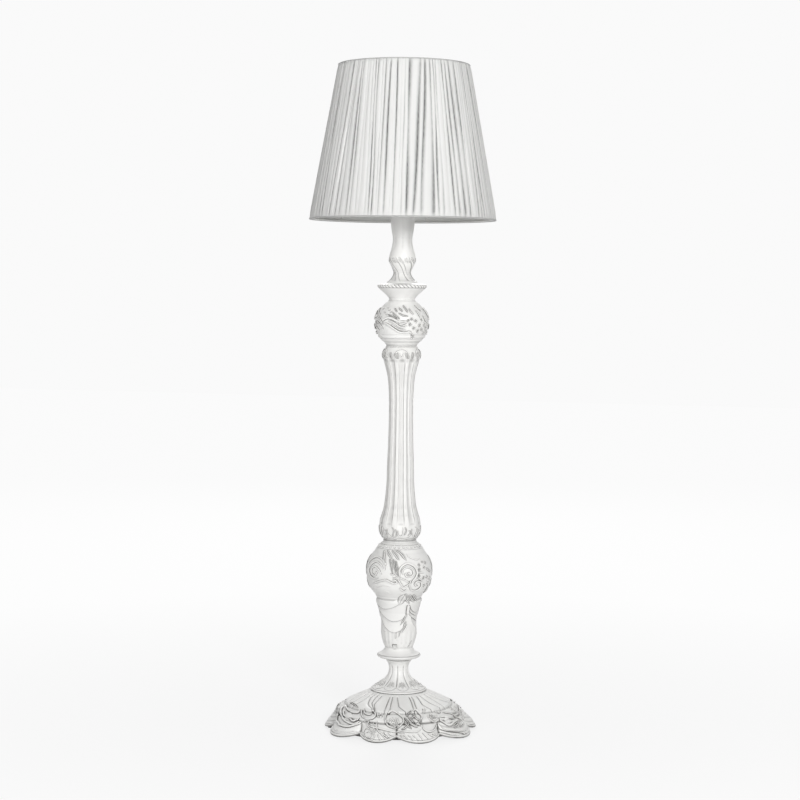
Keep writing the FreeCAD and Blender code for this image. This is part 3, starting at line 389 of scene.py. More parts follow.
class Carver:
    """Carves on a surface at a turn in degrees and a height, all turned on by a given angle."""

    def __init__(self, pool, surface, ahead=0, level=None):
        self.pool, self.surface, self.ahead = pool, surface, ahead
        self.level = level or surface.level

    def line(self, points, width, height, form="round", taper=(0.2, 0.2), **more):
        path = [(turn + self.ahead, self.level(z)) for turn, z in points]
        strip(self.pool, self.surface, path, width, height, form, taper, **more)

    def part(self, turn, z, parts, angle=0.0, lift=0.0):
        set_parts(self.pool, self.surface, turn + self.ahead, self.level(z), parts, angle, lift)

    def ring(self, z, width, height):
        self.line([(turn, z) for turn in range(0, 361, 12)], width, height, taper=(0, 0))


# ---- materials ----------------------------------------------------------------------------

def new_material(name):
    """A material with its nodes, links and main shader."""
    material = bpy.data.materials.new(name)
    material.use_nodes = True
    nodes, links = material.node_tree.nodes, material.node_tree.links
    return material, nodes, links, nodes["Principled BSDF"]


def noise(nodes, links, scale, detail=3.0, stretch=None):
    """Fine or coarse noise in the object's own coordinates, from 0 to 1."""
    coordinates = nodes.new("ShaderNodeTexCoord")
    texture = nodes.new("ShaderNodeTexNoise")
    texture.inputs["Scale"].default_value = scale
    texture.inputs["Detail"].default_value = detail
    texture.inputs["Roughness"].default_value = 0.5
    source = coordinates.outputs["Object"]
    if stretch:
        mapping = nodes.new("ShaderNodeMapping")
        mapping.inputs["Scale"].default_value = stretch
        links.new(source, mapping.inputs["Vector"])
        source = mapping.outputs["Vector"]
    links.new(source, texture.inputs["Vector"])
    return texture.outputs["Fac"]


def calc(nodes, links, operation, a, b=None, clamp=False):
    """A sum, product or the like of two sockets or numbers."""
    node = nodes.new("ShaderNodeMath")
    node.operation = operation
    node.use_clamp = clamp
    for socket, value in zip(node.inputs, (a, b)):
        if value is None:
            continue
        if isinstance(value, (int, float)):
            socket.default_value = value
        else:
            links.new(value, socket)
    return node.outputs[0]


def ranged(nodes, links, value, low, high, to_low, to_high):
    """A value moved from one range to another, and kept within it."""
    node = nodes.new("ShaderNodeMapRange")
    node.inputs["From Min"].default_value = low
    node.inputs["From Max"].default_value = high
    node.inputs["To Min"].default_value = to_low
    node.inputs["To Max"].default_value = to_high
    links.new(value, node.inputs["Value"])
    return node.outputs["Result"]


def blend_colours(nodes, links, share, first, second):
    """A mix of two colours or colour sockets by a share."""
    node = nodes.new("ShaderNodeMix")
    node.data_type = "RGBA"
    links.new(share, node.inputs["Factor"])
    for socket, colour in ((node.inputs["A"], first), (node.inputs["B"], second)):
        if isinstance(colour, tuple):
            socket.default_value = (*colour, 1)
        else:
            links.new(colour, socket)
    return node.outputs["Result"]


def bump(nodes, links, bsdf, height, strength, distance):
    """Fine unevenness of a surface."""
    node = nodes.new("ShaderNodeBump")
    node.inputs["Strength"].default_value = strength
    node.inputs["Distance"].default_value = distance
    links.new(height, node.inputs["Height"])
    links.new(node.outputs["Normal"], bsdf.inputs["Normal"])


THREAD_SCALE = 120


def make_resin():
    """White satin resin, darkened to grey in the recesses of the carving as painted shade, by the
    mesh attribute and by ambient occlusion.
    """
    material, nodes, links, bsdf = new_material("resin")
    wash = nodes.new("ShaderNodeAttribute")
    wash.attribute_name = "wash"
    # Ambient occlusion darkens the recesses: painted shade, added below to the mesh's painted
    # shade amount.
    hidden = nodes.new("ShaderNodeAmbientOcclusion")
    hidden.samples = 6
    hidden.inputs["Distance"].default_value = 0.006
    depth = ranged(nodes, links, hidden.outputs["AO"], 0.3, 0.8, 1.0, 0.0)
    patchy = ranged(nodes, links, noise(nodes, links, 55), 0.3, 0.7, 0.8, 1.15)
    deep = calc(nodes, links, "MULTIPLY", wash.outputs["Fac"], 0.85)
    deep = calc(nodes, links, "ADD", deep, calc(nodes, links, "MULTIPLY", depth, 0.9))
    deep = calc(nodes, links, "MULTIPLY", deep, patchy, clamp=True)
    tone = ranged(nodes, links, noise(nodes, links, 9), 0.3, 0.7, 0.0, 1.0)
    clean = blend_colours(nodes, links, tone, (0.88, 0.876, 0.862), (0.855, 0.85, 0.83))
    # Painted shade: the clean resin is blended towards near black by the shade amount.
    colour = blend_colours(nodes, links, deep, clean, (0.10, 0.096, 0.09))
    links.new(colour, bsdf.inputs["Base Color"])
    rough = ranged(nodes, links, noise(nodes, links, 130), 0.3, 0.7, 0.36, 0.5)
    links.new(calc(nodes, links, "ADD", rough, calc(nodes, links, "MULTIPLY", deep, 0.25)),
              bsdf.inputs["Roughness"])
    grain = calc(nodes, links, "ADD", noise(nodes, links, 900, 2),
                 calc(nodes, links, "MULTIPLY", noise(nodes, links, 120, 3), 2.0))
    bump(nodes, links, bsdf, grain, 0.15, 0.0004)
    return material


def make_cloth(name, colour, painted_fold_shade, through):
    """Fine woven cloth that lets some light through, with painted shade down in its folds."""
    material, nodes, links, bsdf = new_material(name)
    wash = nodes.new("ShaderNodeAttribute")
    wash.attribute_name = "wash"
    streak = noise(nodes, links, 60, 2, (9, 9, 0.35))
    share = calc(nodes, links, "MULTIPLY", wash.outputs["Fac"],
                 ranged(nodes, links, streak, 0.25, 0.75, 0.65, 1.15), clamp=True)
    tone = blend_colours(nodes, links, share, colour, painted_fold_shade)
    links.new(tone, bsdf.inputs["Base Color"])
    bsdf.inputs["Roughness"].default_value = 0.62
    bsdf.inputs["Sheen Weight"].default_value = 0.35
    bsdf.inputs["Sheen Roughness"].default_value = 0.4
    coordinates = nodes.new("ShaderNodeTexCoord")
    threads = []
    for direction in ("X", "Z"):
        wave = nodes.new("ShaderNodeTexWave")
        wave.bands_direction = direction
        wave.inputs["Scale"].default_value = THREAD_SCALE
        wave.inputs["Distortion"].default_value = 1.2
        wave.inputs["Detail"].default_value = 1
        links.new(coordinates.outputs["Object"], wave.inputs["Vector"])
        threads.append(wave.outputs["Fac"])
    weft = calc(nodes, links, "ADD", *threads)
    bump(nodes, links, bsdf, calc(nodes, links, "ADD", weft, streak), 0.12, 0.0004)
    light = nodes.new("ShaderNodeBsdfTranslucent")
    links.new(tone, light.inputs["Color"])
    mixed = nodes.new("ShaderNodeMixShader")
    mixed.inputs["Fac"].default_value = through
    links.new(bsdf.outputs["BSDF"], mixed.inputs[1])
    links.new(light.outputs["BSDF"], mixed.inputs[2])
    links.new(mixed.outputs["Shader"], nodes["Material Output"].inputs["Surface"])
    return material


def make_plain(name, colour, roughness, metal=0.0, grain=300, depth=0.0002, spread=0.06,
               stretch=None, coat=0.0):
    """Plastic, enamel, rubber or metal with small differences in tone, gloss and surface."""
    material, nodes, links, bsdf = new_material(name)
    fine = noise(nodes, links, grain, 3, stretch)
    broad = noise(nodes, links, 40, 2)
    dark = tuple(c * (1 - 2.2 * spread) for c in colour)
    share = ranged(nodes, links, calc(nodes, links, "ADD", fine, broad), 0.7, 1.3, 0, 1)
    links.new(blend_colours(nodes, links, share, dark, colour), bsdf.inputs["Base Color"])
    links.new(ranged(nodes, links, fine, 0.3, 0.7, roughness * 0.85, roughness * 1.15),
              bsdf.inputs["Roughness"])
    bsdf.inputs["Metallic"].default_value = metal
    bsdf.inputs["Coat Weight"].default_value = coat
    bump(nodes, links, bsdf, fine, 0.15, depth)
    return material


def make_bulb_glass():
    """Glass frosted inside."""
    material, nodes, links, bsdf = new_material("bulb_glass")
    haze = noise(nodes, links, 200, 3)
    links.new(ranged(nodes, links, haze, 0.3, 0.7, 0.28, 0.42), bsdf.inputs["Roughness"])
    links.new(blend_colours(nodes, links, haze, (0.93, 0.93, 0.92), (0.88, 0.88, 0.87)),
              bsdf.inputs["Base Color"])
    bsdf.inputs["Transmission Weight"].default_value = 0.35
    bsdf.inputs["Subsurface Weight"].default_value = 0.15
    bsdf.inputs["Coat Weight"].default_value = 0.6
    bsdf.inputs["Coat Roughness"].default_value = 0.05
    return material


resin = make_resin()
cloth = make_cloth("shade_cloth", (0.93, 0.93, 0.92), (0.16, 0.16, 0.16), 0.32)
# The rim bands are grey as painted shade, a dark line along the top and bottom edges.
painted_rim_shade = make_cloth("shade_trim", (0.50, 0.50, 0.49), (0.3, 0.3, 0.29), 0.05)
lining_cloth = make_cloth("lining_cloth", (0.94, 0.94, 0.93), (0.75, 0.75, 0.74), 0.5)
enamel = make_plain("wire_enamel", (0.82, 0.82, 0.80), 0.35, coat=0.3)
white_plastic = make_plain("white_plastic", (0.83, 0.83, 0.81), 0.3, coat=0.2)
zinc = make_plain("zinc_steel", (0.55, 0.56, 0.57), 0.32, metal=1.0, stretch=(1, 1, 8))
brass = make_plain("brass", (0.72, 0.52, 0.22), 0.3, metal=1.0, spread=0.1)
tin = make_plain("cap_metal", (0.72, 0.72, 0.73), 0.3, metal=1.0)
black_rubber = make_plain("pad_rubber", (0.035, 0.035, 0.037), 0.7, grain=700, depth=0.0005)
pale_rubber = make_plain("grommet_rubber", (0.62, 0.61, 0.58), 0.6, grain=600, depth=0.0004)
board = make_plain("cover_board", (0.05, 0.05, 0.05), 0.65, grain=500, depth=0.0005)
iron = make_plain("iron", (0.10, 0.10, 0.105), 0.6, metal=0.6, grain=160, depth=0.001)
porcelain = make_plain("porcelain", (0.80, 0.79, 0.76), 0.5)
black_glass = make_plain("vitrite", (0.02, 0.02, 0.022), 0.12)
blue_pvc = make_plain("lead_blue", (0.05, 0.12, 0.45), 0.4)
brown_pvc = make_plain("lead_brown", (0.16, 0.06, 0.025), 0.4)
frosted = make_bulb_glass()

NODE_MATERIALS = {
    "base_cover": board, "cover_screws": zinc, "foot_pads": black_rubber,
    "ballast_weight": iron, "terminal_block": white_plastic, "centre_tube": zinc,
    "tube_washers": zinc, "tube_nuts": brass, "switch_body": white_plastic,
    "switch_button": white_plastic, "neutral_lead": blue_pvc, "feed_lead": brown_pvc,
    "switched_lead": brown_pvc, "holder_insert": porcelain, "centre_contact": brass,
    "bulb_contact": tin, "bulb_insulator": black_glass,
}


# ---- base ---------------------------------------------------------------------------------

FLOOR_GAP = 2.0
# Turns of the notches between the ten petals, in degrees. They are uneven, as on a casting
# that was modelled by hand.
NOTCHES = [-93.7, -59, -18.5, 14.8, 52.2, 93, 127.7, 162.3, 197, 231.7, 266.3]
# How much further than its neighbours each petal reaches, from the one in front towards +X.
PETAL_LONGER = [0, 0, 5, 0, 0, 0, 0, 0, 0, 7]
BASE_RADIUS = 190
# The even petals of the solid: round lobes of one radius, their centres on a circle.
LOBE_CIRCLE, LOBE_RADIUS, HALF_PETAL = 130, 60, math.pi / 10
PETAL_START = 150


def petal_place(turn):
    """Where a turn lies in its petal, from -1 to 1, and which petal that is."""
    degrees = (np.degrees(turn) - NOTCHES[0]) % 360 + NOTCHES[0]
    even = np.interp(degrees, NOTCHES, np.arange(11) - 2.5)
    number = np.floor(even + 0.5)
    return 2 * (even - number), number.astype(int) % 10


def lobe(a):
    """How far out the edge of an even petal lies at an angle from its middle."""
    return LOBE_CIRCLE * np.cos(a) + np.sqrt(LOBE_RADIUS ** 2 - (LOBE_CIRCLE * np.sin(a)) ** 2)


def petal_shape(turn, r, z):
    """Petals with round tips, arched up where they meet, as the solid has them. Those on the
    right, and two more, reach further, as on the photographed base."""
    place, number = petal_place(turn)
    deepest = BASE_RADIUS - lobe(HALF_PETAL)
    share = (BASE_RADIUS - lobe(place * HALF_PETAL)) / deepest
    height = z - FLOOR_GAP
    free = smooth((r - 146) / 10)
    fade = np.clip(1 - (np.clip(height, 0, 42) / 42) ** 2, 0, 1)
    lift = 11 * share * (1 - smooth((height - 5) / 15)) * smooth((r - 152) / 8)
    longer = np.array(PETAL_LONGER)[number] * (1 - place ** 2)
    reach = (6 * np.cos(turn - math.pi / 2) + longer) * smooth((r - PETAL_START) / 30)
    return r + reach - deepest * share * fade * free, z + lift


# Lines between the gadroons of the dome, as (turn in degrees, height), from the rim inwards.
GADROONS = [((-12.8, 70), (-25.5, 77), (-34, 88)), ((-11, 70), (-21.8, 80), (-25.3, 90)),
            ((-10.5, 70), (-16.7, 79), (-16.9, 91)), ((0.8, 70), (0.6, 79), (0.4, 88)),
            ((6.5, 70), (6, 80), (5.7, 92)), ((24, 69), (16.8, 78), (14.3, 92)),
            ((33.8, 70), (34.5, 78), (36, 88)), ((37.6, 70), (38.6, 79), (41.3, 91)),
            ((54.5, 70), (48.9, 79), (51.8, 92)), ((68, 70), (62, 80), (60, 91)),
            ((76, 69), (75, 80), (74, 90)), ((97, 69), (88, 79), (83, 91)),
            ((103, 70), (101, 80), (98, 91)), ((118, 69), (113, 79), (108, 91)),
            ((127, 70), (127, 80), (124, 90)), ((137, 70), (139, 79), (138, 91))]


def gadroon_lines(turn, r, z):
    """How far each point is, in mm, from the nearest line between gadroons."""
    degrees = np.degrees(turn)
    nearest = np.full(np.broadcast(turn, z).shape, 60.0)
    for line in GADROONS:
        turns, heights = zip(*line)
        off = (degrees - np.interp(z, heights, turns) + 90) % 180 - 90
        nearest = np.minimum(nearest, np.abs(off))
    return nearest * r * math.pi / 180


def base_relief(turn, r, z):
    """Grooves and bands on the petals, gadroons on the dome, and a bed for the garland."""
    place, number = petal_place(turn)
    height = z - FLOOR_GAP
    on_petal = window(height, 7, 37, 8) * smooth((r - PETAL_START) / 8)
    side = np.abs(place)
    crease = -1.8 * np.exp(-(1 - side) / 0.045) - 1.6 * side ** 3
    rim = -1.1 * np.exp(-((height - 8.5) / 1.1) ** 2) * smooth((r - PETAL_START) / 8)
    bands = 0.7 * np.cos(2 * math.pi * (r + 12 * place ** 2) / 9)
    plain = np.isin(number, (0, 1, 5, 6, 4, 9))
    up = on_petal * (crease + np.where(plain, 0, bands)) + rim
    off = gadroon_lines(turn, r, z)
    on_dome = smooth((r - 73) / 6) * smooth((141 - r) / 9)
    gadroons = -1.4 * np.exp(-(off / 1.5) ** 2) - 1.5 * np.exp(-off / 5)
    bed = window(r, 133, 159, 7) * smooth((height - 30) / 10)
    return up + gadroons * on_dome - 4.2 * bed


def base_painted_shade(turn, r, z):
    """Painted shade in the gadroons and in the notches between petals, and a painted shadow along
    the foot where it meets the floor.
    """
    off = gadroon_lines(turn, r, z)
    place, _ = petal_place(turn)
    notch = np.exp(-((1 - np.abs(place)) / 0.03) ** 2) * window(z, 12, 42, 6)
    gadroon = np.exp(-(off / 1.4) ** 2) * window(z, 66, 92, 5)
    # Painted contact shadow along the lowest edge of the petals.
    foot = 0.9 * smooth((6.4 - z) / 1.5) * smooth((r - PETAL_START) / 4)
    return np.maximum(0.75 * np.maximum(gadroon, notch * (r > PETAL_START)), foot)


def make_base():
    """The scalloped foot and the dome; the garland is carved on the surface it returns."""
    under = [[(143, 42), (143, 8)], [(143, 8), (147.9, 8)], [(147.9, 8), (147.9, 2)],
             [(147.9, 2), (187.5, 2)]]
    edge = [(187.5, 2), (189.3, 2.8), (190, 4.6), (189.4, 7)]
    top = [(tip, 7 + 37 * share ** 0.8) for share, tip in
           ((s, 189.4 + (158 - 189.4) * s) for s in (0, 0.12, 0.25, 0.42, 0.6, 0.8, 1))]
    step = [(158, 44), (157.5, 49), (154, 55), (150, 58)]
    dome = [(150 + (66 - 150) * s, 58 + 40.5 * s ** 0.9) for s in (0, 0.15, 0.33, 0.5, 0.67,
                                                                   0.85, 1)]
    runs = under + [edge, top, step, dome, [(66, 98.5), (30, 98.5)]]
    surface = Surface(runs, 1.9, petal_shape, base_relief)
    cast("base_carved", surface, 720, 6.0, "base_bell", resin, 0.8, sharp=60, lines=base_painted_shade)
    return surface


def make_garland(base):
    """Roses, leaves and ribbons round the foot of the dome, and carving on the petals. The
    front shows one run of them, and the back repeats it, lower."""
    pool = Pool()
    outer = base.s > base.s[np.argmax(base.r)]

    def level(z):
        return float(base.s[np.argmin(np.where(outer, np.abs(base.z - z), 1e9))])

    for half in (0, 180):
        def down(z):
            return z if z < 58 or half == 0 else 58 + 0.45 * (z - 58)

        carver = Carver(pool, base, half, lambda z: level(down(z)))
        line, part = carver.line, carver.part
        # ribbons that run under everything
        line([(-90, 46), (-78, 56), (-66, 48), (-54, 42), (-48, 34), (-41, 31), (-37, 27.5),
              (-29, 28.5), (-23, 35), (-17, 45)], 5.5, 4, "band", (0.05, 0.1))
        line([(-17, 44), (-8, 36), (0, 33), (8, 30), (14, 27), (19, 30), (25, 28.5), (31, 28.5),
              (35.5, 33.5)], 4.6, 3.2)
        line([(38, 43), (37, 33), (40, 26), (45, 26), (49.5, 32), (53, 42)], 4.6, 3.6)
        line([(54.4, 46), (53.8, 33), (57.3, 24), (66.7, 16), (75, 9)], 5, 3.4, "band")
        line([(52, 21), (58, 14), (66, 8.5)], 3.2, 1.8)
        # large smooth leaf with a double edge, and the two that lie on it
        part(-37, 49, [disc(15, 4.2, size=13, grey=0.2)])
        line([(-60, 63), (-51, 52.6), (-43.7, 42.5), (-34.6, 38), (-25.3, 35.3), (-19.7, 45.4)],
             5, 5.2, taper=(0.1, 0.1))
        line([(-47, 58), (-42.7, 49), (-34, 43.5), (-26.6, 39.7), (-23, 45.4), (-21.6, 53)], 3.6,
             5.2, taper=(0.1, 0.1), lift=0.8)
        line([(-59, 66), (-50, 63), (-38, 60.3), (-30.5, 59.8), (-27, 62.6), (-30, 67.7)], 5,
             5.4, taper=(0.1, 0.1))
        line([(-56, 71), (-42, 70.5), (-32, 68)], 5, 4.6, "leaf")
        line([(-66, 57), (-60, 47), (-55, 38), (-58, 26)], 6, 3.0, "leaf")
        part(-72, 52, rose(15, 2.8), lift=-0.4)
        part(-84, 52, [leaf(30, 18, 2.2, 3)], 80)
        part(-82, 40, [leaf(30, 18, 2.2, 3)], 120)
        # C-scroll, rosette, rose in a ring
        line([(-27, 67), (-20.6, 57.7), (-15, 52), (-9, 53), (-6.6, 60.6), (-9.5, 66.4),
              (-15.7, 71)], 4.4, 5, taper=(0.05, 0.15))
        line([(-24, 70), (-19.8, 62.8), (-14.6, 61), (-12, 63), (-15, 67.3)], 3.4, 4.4,
             taper=(0.15, 0.1))
        part(-2.3, 61.5, blossom(8, 4.8))
        line([(4.2, 66.5), (3.6, 59), (4.6, 50), (6.4, 42), (9, 37), (13, 34.6), (16.8, 37.5),
              (19.6, 43.5), (21, 51), (20.4, 58.5), (17.6, 64), (13.6, 68), (8.6, 69.2),
              (4.2, 66.5)], 4.0, 5, taper=(0.02, 0.02))
        part(12.2, 51.5, rose(14.5, 6), 20, lift=0.6)
        # braided leaves
        for points in ([(19.5, 55), (23.4, 43), (27.5, 33)], [(21.5, 60), (26.2, 46.3), (33, 36)],
                       [(25.5, 62), (29.6, 49.3), (36, 39)], [(31, 67), (33, 58), (38, 45)],
                       [(24, 61), (27, 67), (31, 69)], [(18.8, 31), (23.2, 39), (26.3, 47)],
                       [(27, 56), (31.3, 61.5), (34, 67)], [(29, 38), (33, 43), (37, 51)]):
            line(points, (4, 6, 4), 5.2, "leaf", (0.15, 0.15))
        line([(35.5, 50.6), (38.5, 57), (39, 63.2), (35.9, 70), (31, 70)], 4.6, 5)
        part(50.4, 55.5, rose(15, 6.4), 55, lift=0.6)
        part(43, 66, [leaf(18, 10, 4, 2, curl=1)], -30)
        part(57, 66, [leaf(20, 11, 4, 2, curl=1)], 250)
        # a leaf with crossed stems
        part(66, 44, [disc(11, 3, size=11, grey=0.2)])
        line([(57.4, 56), (57, 46), (61.5, 33), (68.8, 36.6), (76, 39)], 4.2, 4.4)
        line([(57.7, 56), (68.2, 47.2), (77, 41)], 4.2, 4.4)
        for points in ([(72, 60), (78.5, 46), (82.4, 33)], [(62.7, 30.3), (71, 34.4), (84.4, 38)],
                       [(64.6, 27.2), (74.3, 33)], [(70.7, 26.6), (81.8, 32.4)],
                       [(66, 63), (76, 56), (88, 52)]):
            line(points, 4.4, 3.6, "leaf", (0.15, 0.15))
        part(97, 56, rose(17, 2.8), 15, lift=-0.5)
        part(86, 62, blossom(9, 2.6), lift=-0.4)
        part(110, 47, [leaf(28, 17, 2, 3)], 250)
        part(118, 52, rose(13, 2.6), lift=-0.5)
        # hanging vine
        line([(-3.6, 51), (-2.4, 37.7), (0, 27.6), (6, 18), (9, 8)], 3.8, 3.6)
        line([(-7.1, 46), (-4.8, 35.2), (-1.5, 24)], 3.4, 3)
        line([(-11.5, 49), (-11, 38), (-7.3, 32)], 3.8, 3.4)
        line([(-17, 45), (-12, 41), (-7.5, 38)], 4.2, 3.4, "leaf")
        # petals: rounded squares one in the other, and fans of reeds
        line([(-13.2, 20), (-12.4, 30), (-7, 30), (-2.4, 19), (-3.6, 9), (-9.2, 8.6),
              (-13.2, 19)], 3.0, 2.4, taper=(0.03, 0.03))
        line([(-10.2, 20.5), (-8.2, 25.5), (-5, 20.4), (-5.2, 13), (-8.1, 13)], 2.6, 2.2,
             taper=(0.05, 0.05))
        for low, high in (((-0.3, 23), (3.4, 7.5)), ((2, 25.5), (7.2, 8.5)),
                          ((4, 28.5), (10, 11)), ((7.5, 27), (12.5, 14)),
                          ((17.5, 20), (20.5, 9)), ((20.2, 21), (24, 8)), ((23.5, 22), (28, 8)),
                          ((27, 23), (32, 8)), ((31.3, 25), (35, 8.5)), ((35, 26), (39.2, 11)),
                          ((39, 24), (44, 12)), ((43, 21), (48, 14))):
            line([low, high], (2.4, 3.4), 2.4, taper=(0.15, 0.15))
        line([(16, 24), (19, 25.5), (22, 24)], 3, 2)
        line([(-40, 13), (-33.4, 15), (-27.7, 15), (-22.4, 19.5)], 3, 1.4)
        line([(-50, 22), (-42, 17), (-36, 18)], 3, 1.2)
        line([(60, 22), (68, 20), (80, 16)], 3, 1.4)
    pool.make("base_garland", resin)


# ---- neck, ring ---------------------------------------------------------------------------

def make_neck():
    """The waisted neck with ten soft folds, and leaf tufts round its foot."""
    collar = [[(66, 98.5), (69.4, 98.6)], [(69.4, 98.6), (70, 99.6), (69.6, 101), (68.4, 102)],
              [(68.4, 102), (67.2, 102), (66.4, 103.2)],
              [(66.4, 103.2), (61.5, 106), (53.8, 110.5), (46, 116), (38.6, 122), (32.8, 128),
               (28.8, 133.5), (26.2, 139), (24.6, 145), (24, 150), (24.3, 155), (25.4, 160),
               (27.4, 165), (29.6, 168.5)]]

    def folds(turn, r, z):
        off = (np.degrees(turn) + 8) % 36 - 18
        return np.exp(-(off * r / 57.3 / 2.2) ** 2) * window(z, 112, 160, 12)

    def bed(turn, r, z):
        return -1.6 * folds(turn, r, z)

    # Painted shade down the grooves of the folds.
    def lines(turn, r, z):
        off = (np.degrees(turn) + 8) % 36 - 18
        return 0.55 * np.exp(-(off * r / 57.3 / 1.1) ** 2) * window(z, 116, 150, 16)

    surface = Surface(collar, 1.1, relief=bed)
    cast("neck_carved", surface, 240, 6.0, "spool_neck", resin, 0.4, lines=lines)
    pool = Pool()
    for number in range(10):
        carver = Carver(pool, surface, 36 * number)
        for points in ([(-14, 122), (-15, 116), (-19, 111)], [(-8, 124), (-8, 116), (-9, 109)],
                       [(-2, 122), (-1, 116), (2, 111)]):
            carver.line(points, (4.4, 5.6, 4.4), 1.6, "leaf", (0.35, 0.15))
        carver.line([(-26, 112), (-18, 107.5), (-8, 106), (2, 107.5), (10, 112)], 3.2, 1.2)
    pool.make("neck_leaves", resin)


def ring_painted_shade(turn, r, z):
    """A grey line of painted shade along the step at the upper edge of the rim."""
    return 0.6 * window(z, 186.4, 188.6, 0.8)


def make_ring():
    """The turned ring under the vase."""
    outline = [[(29.6, 168.5), (31.2, 171), (32, 173.4)], [(32, 173.4), (32, 174.2), (33, 175)],
               [(33, 175), (42, 177.2), (49, 179.6), (53, 182.2), (54.5, 184.8), (53.6, 187.4)],
               [(53.6, 187.4), (52, 187.6), (51.4, 188.8)],
               [(51.4, 188.8), (46.4, 191.4), (41.4, 195), (37.4, 199.4), (34.8, 204)]]
    surface = Surface(outline, 0.9)
    cast("ring_turned", surface, 160, 6.0, "ring_collar", resin, 0.3, lines=ring_painted_shade)


# ---- draped vase --------------------------------------------------------------------------

VASE = [(34.8, 204), (35.3, 207), (37.6, 211), (39.8, 215), (41.2, 220), (43, 226), (44.4, 233),
        (45.6, 243), (45.9, 258), (46, 272), (47.2, 281), (49.2, 289), (50.6, 297), (53, 305.5),
        (55.6, 314), (57.6, 321), (58.4, 325.5)]
BALL = [(58.4, 325.5), (57.4, 329), (60.4, 334.6), (66, 342), (72.6, 350), (78, 359.5),
        (81.4, 371), (83.8, 383), (84.6, 395), (84, 408), (82, 419), (78.4, 428), (73.4, 436.5),
        (66.8, 445.5), (58.6, 454.5), (50.4, 462), (46, 466.5), (43, 469.5), (41.4, 472),
        (41, 474)]


def near(turn, centre, spread):
    """How near a turn is to a centre in degrees: 1 there, falling to 0."""
    off = (turn - math.radians(centre) + math.pi) % (2 * math.pi) - math.pi
    return np.exp(-(off / math.radians(spread)) ** 2)


def vase_relief(turn, r, z):
    """A bed for the carving of the ball, and soft hanging folds low on the drapery."""
    bed = -2.2 * window(z, 332, 452, 12) - 1.2 * window(z, 212, 330, 10)
    bed = bed - 1.6 * near(turn, 110, 34) * window(z, 250, 440, 30)
    hang = 0.5 * window(z, 208, 252, 18) * np.cos(turn * 20 + 0.6 * np.sin(3 * turn))
    hang = hang * (1 - near(turn, 0, 13) * window(z, 198, 226, 8))
    return bed * (1 - 0.7 * near(turn, 0, 12) * window(z, 198, 224, 8)) + hang


def vase_flat(turn, r, z):
    """The flat spot behind the switch."""
    x, y = r * np.sin(turn), r * np.cos(turn)
    spot = (np.abs(x) < 6.2) & (np.abs(z - 210.5) < 6.2) & (y > 35)
    return np.where(spot, 35 / np.maximum(np.cos(turn), 0.5), r), z


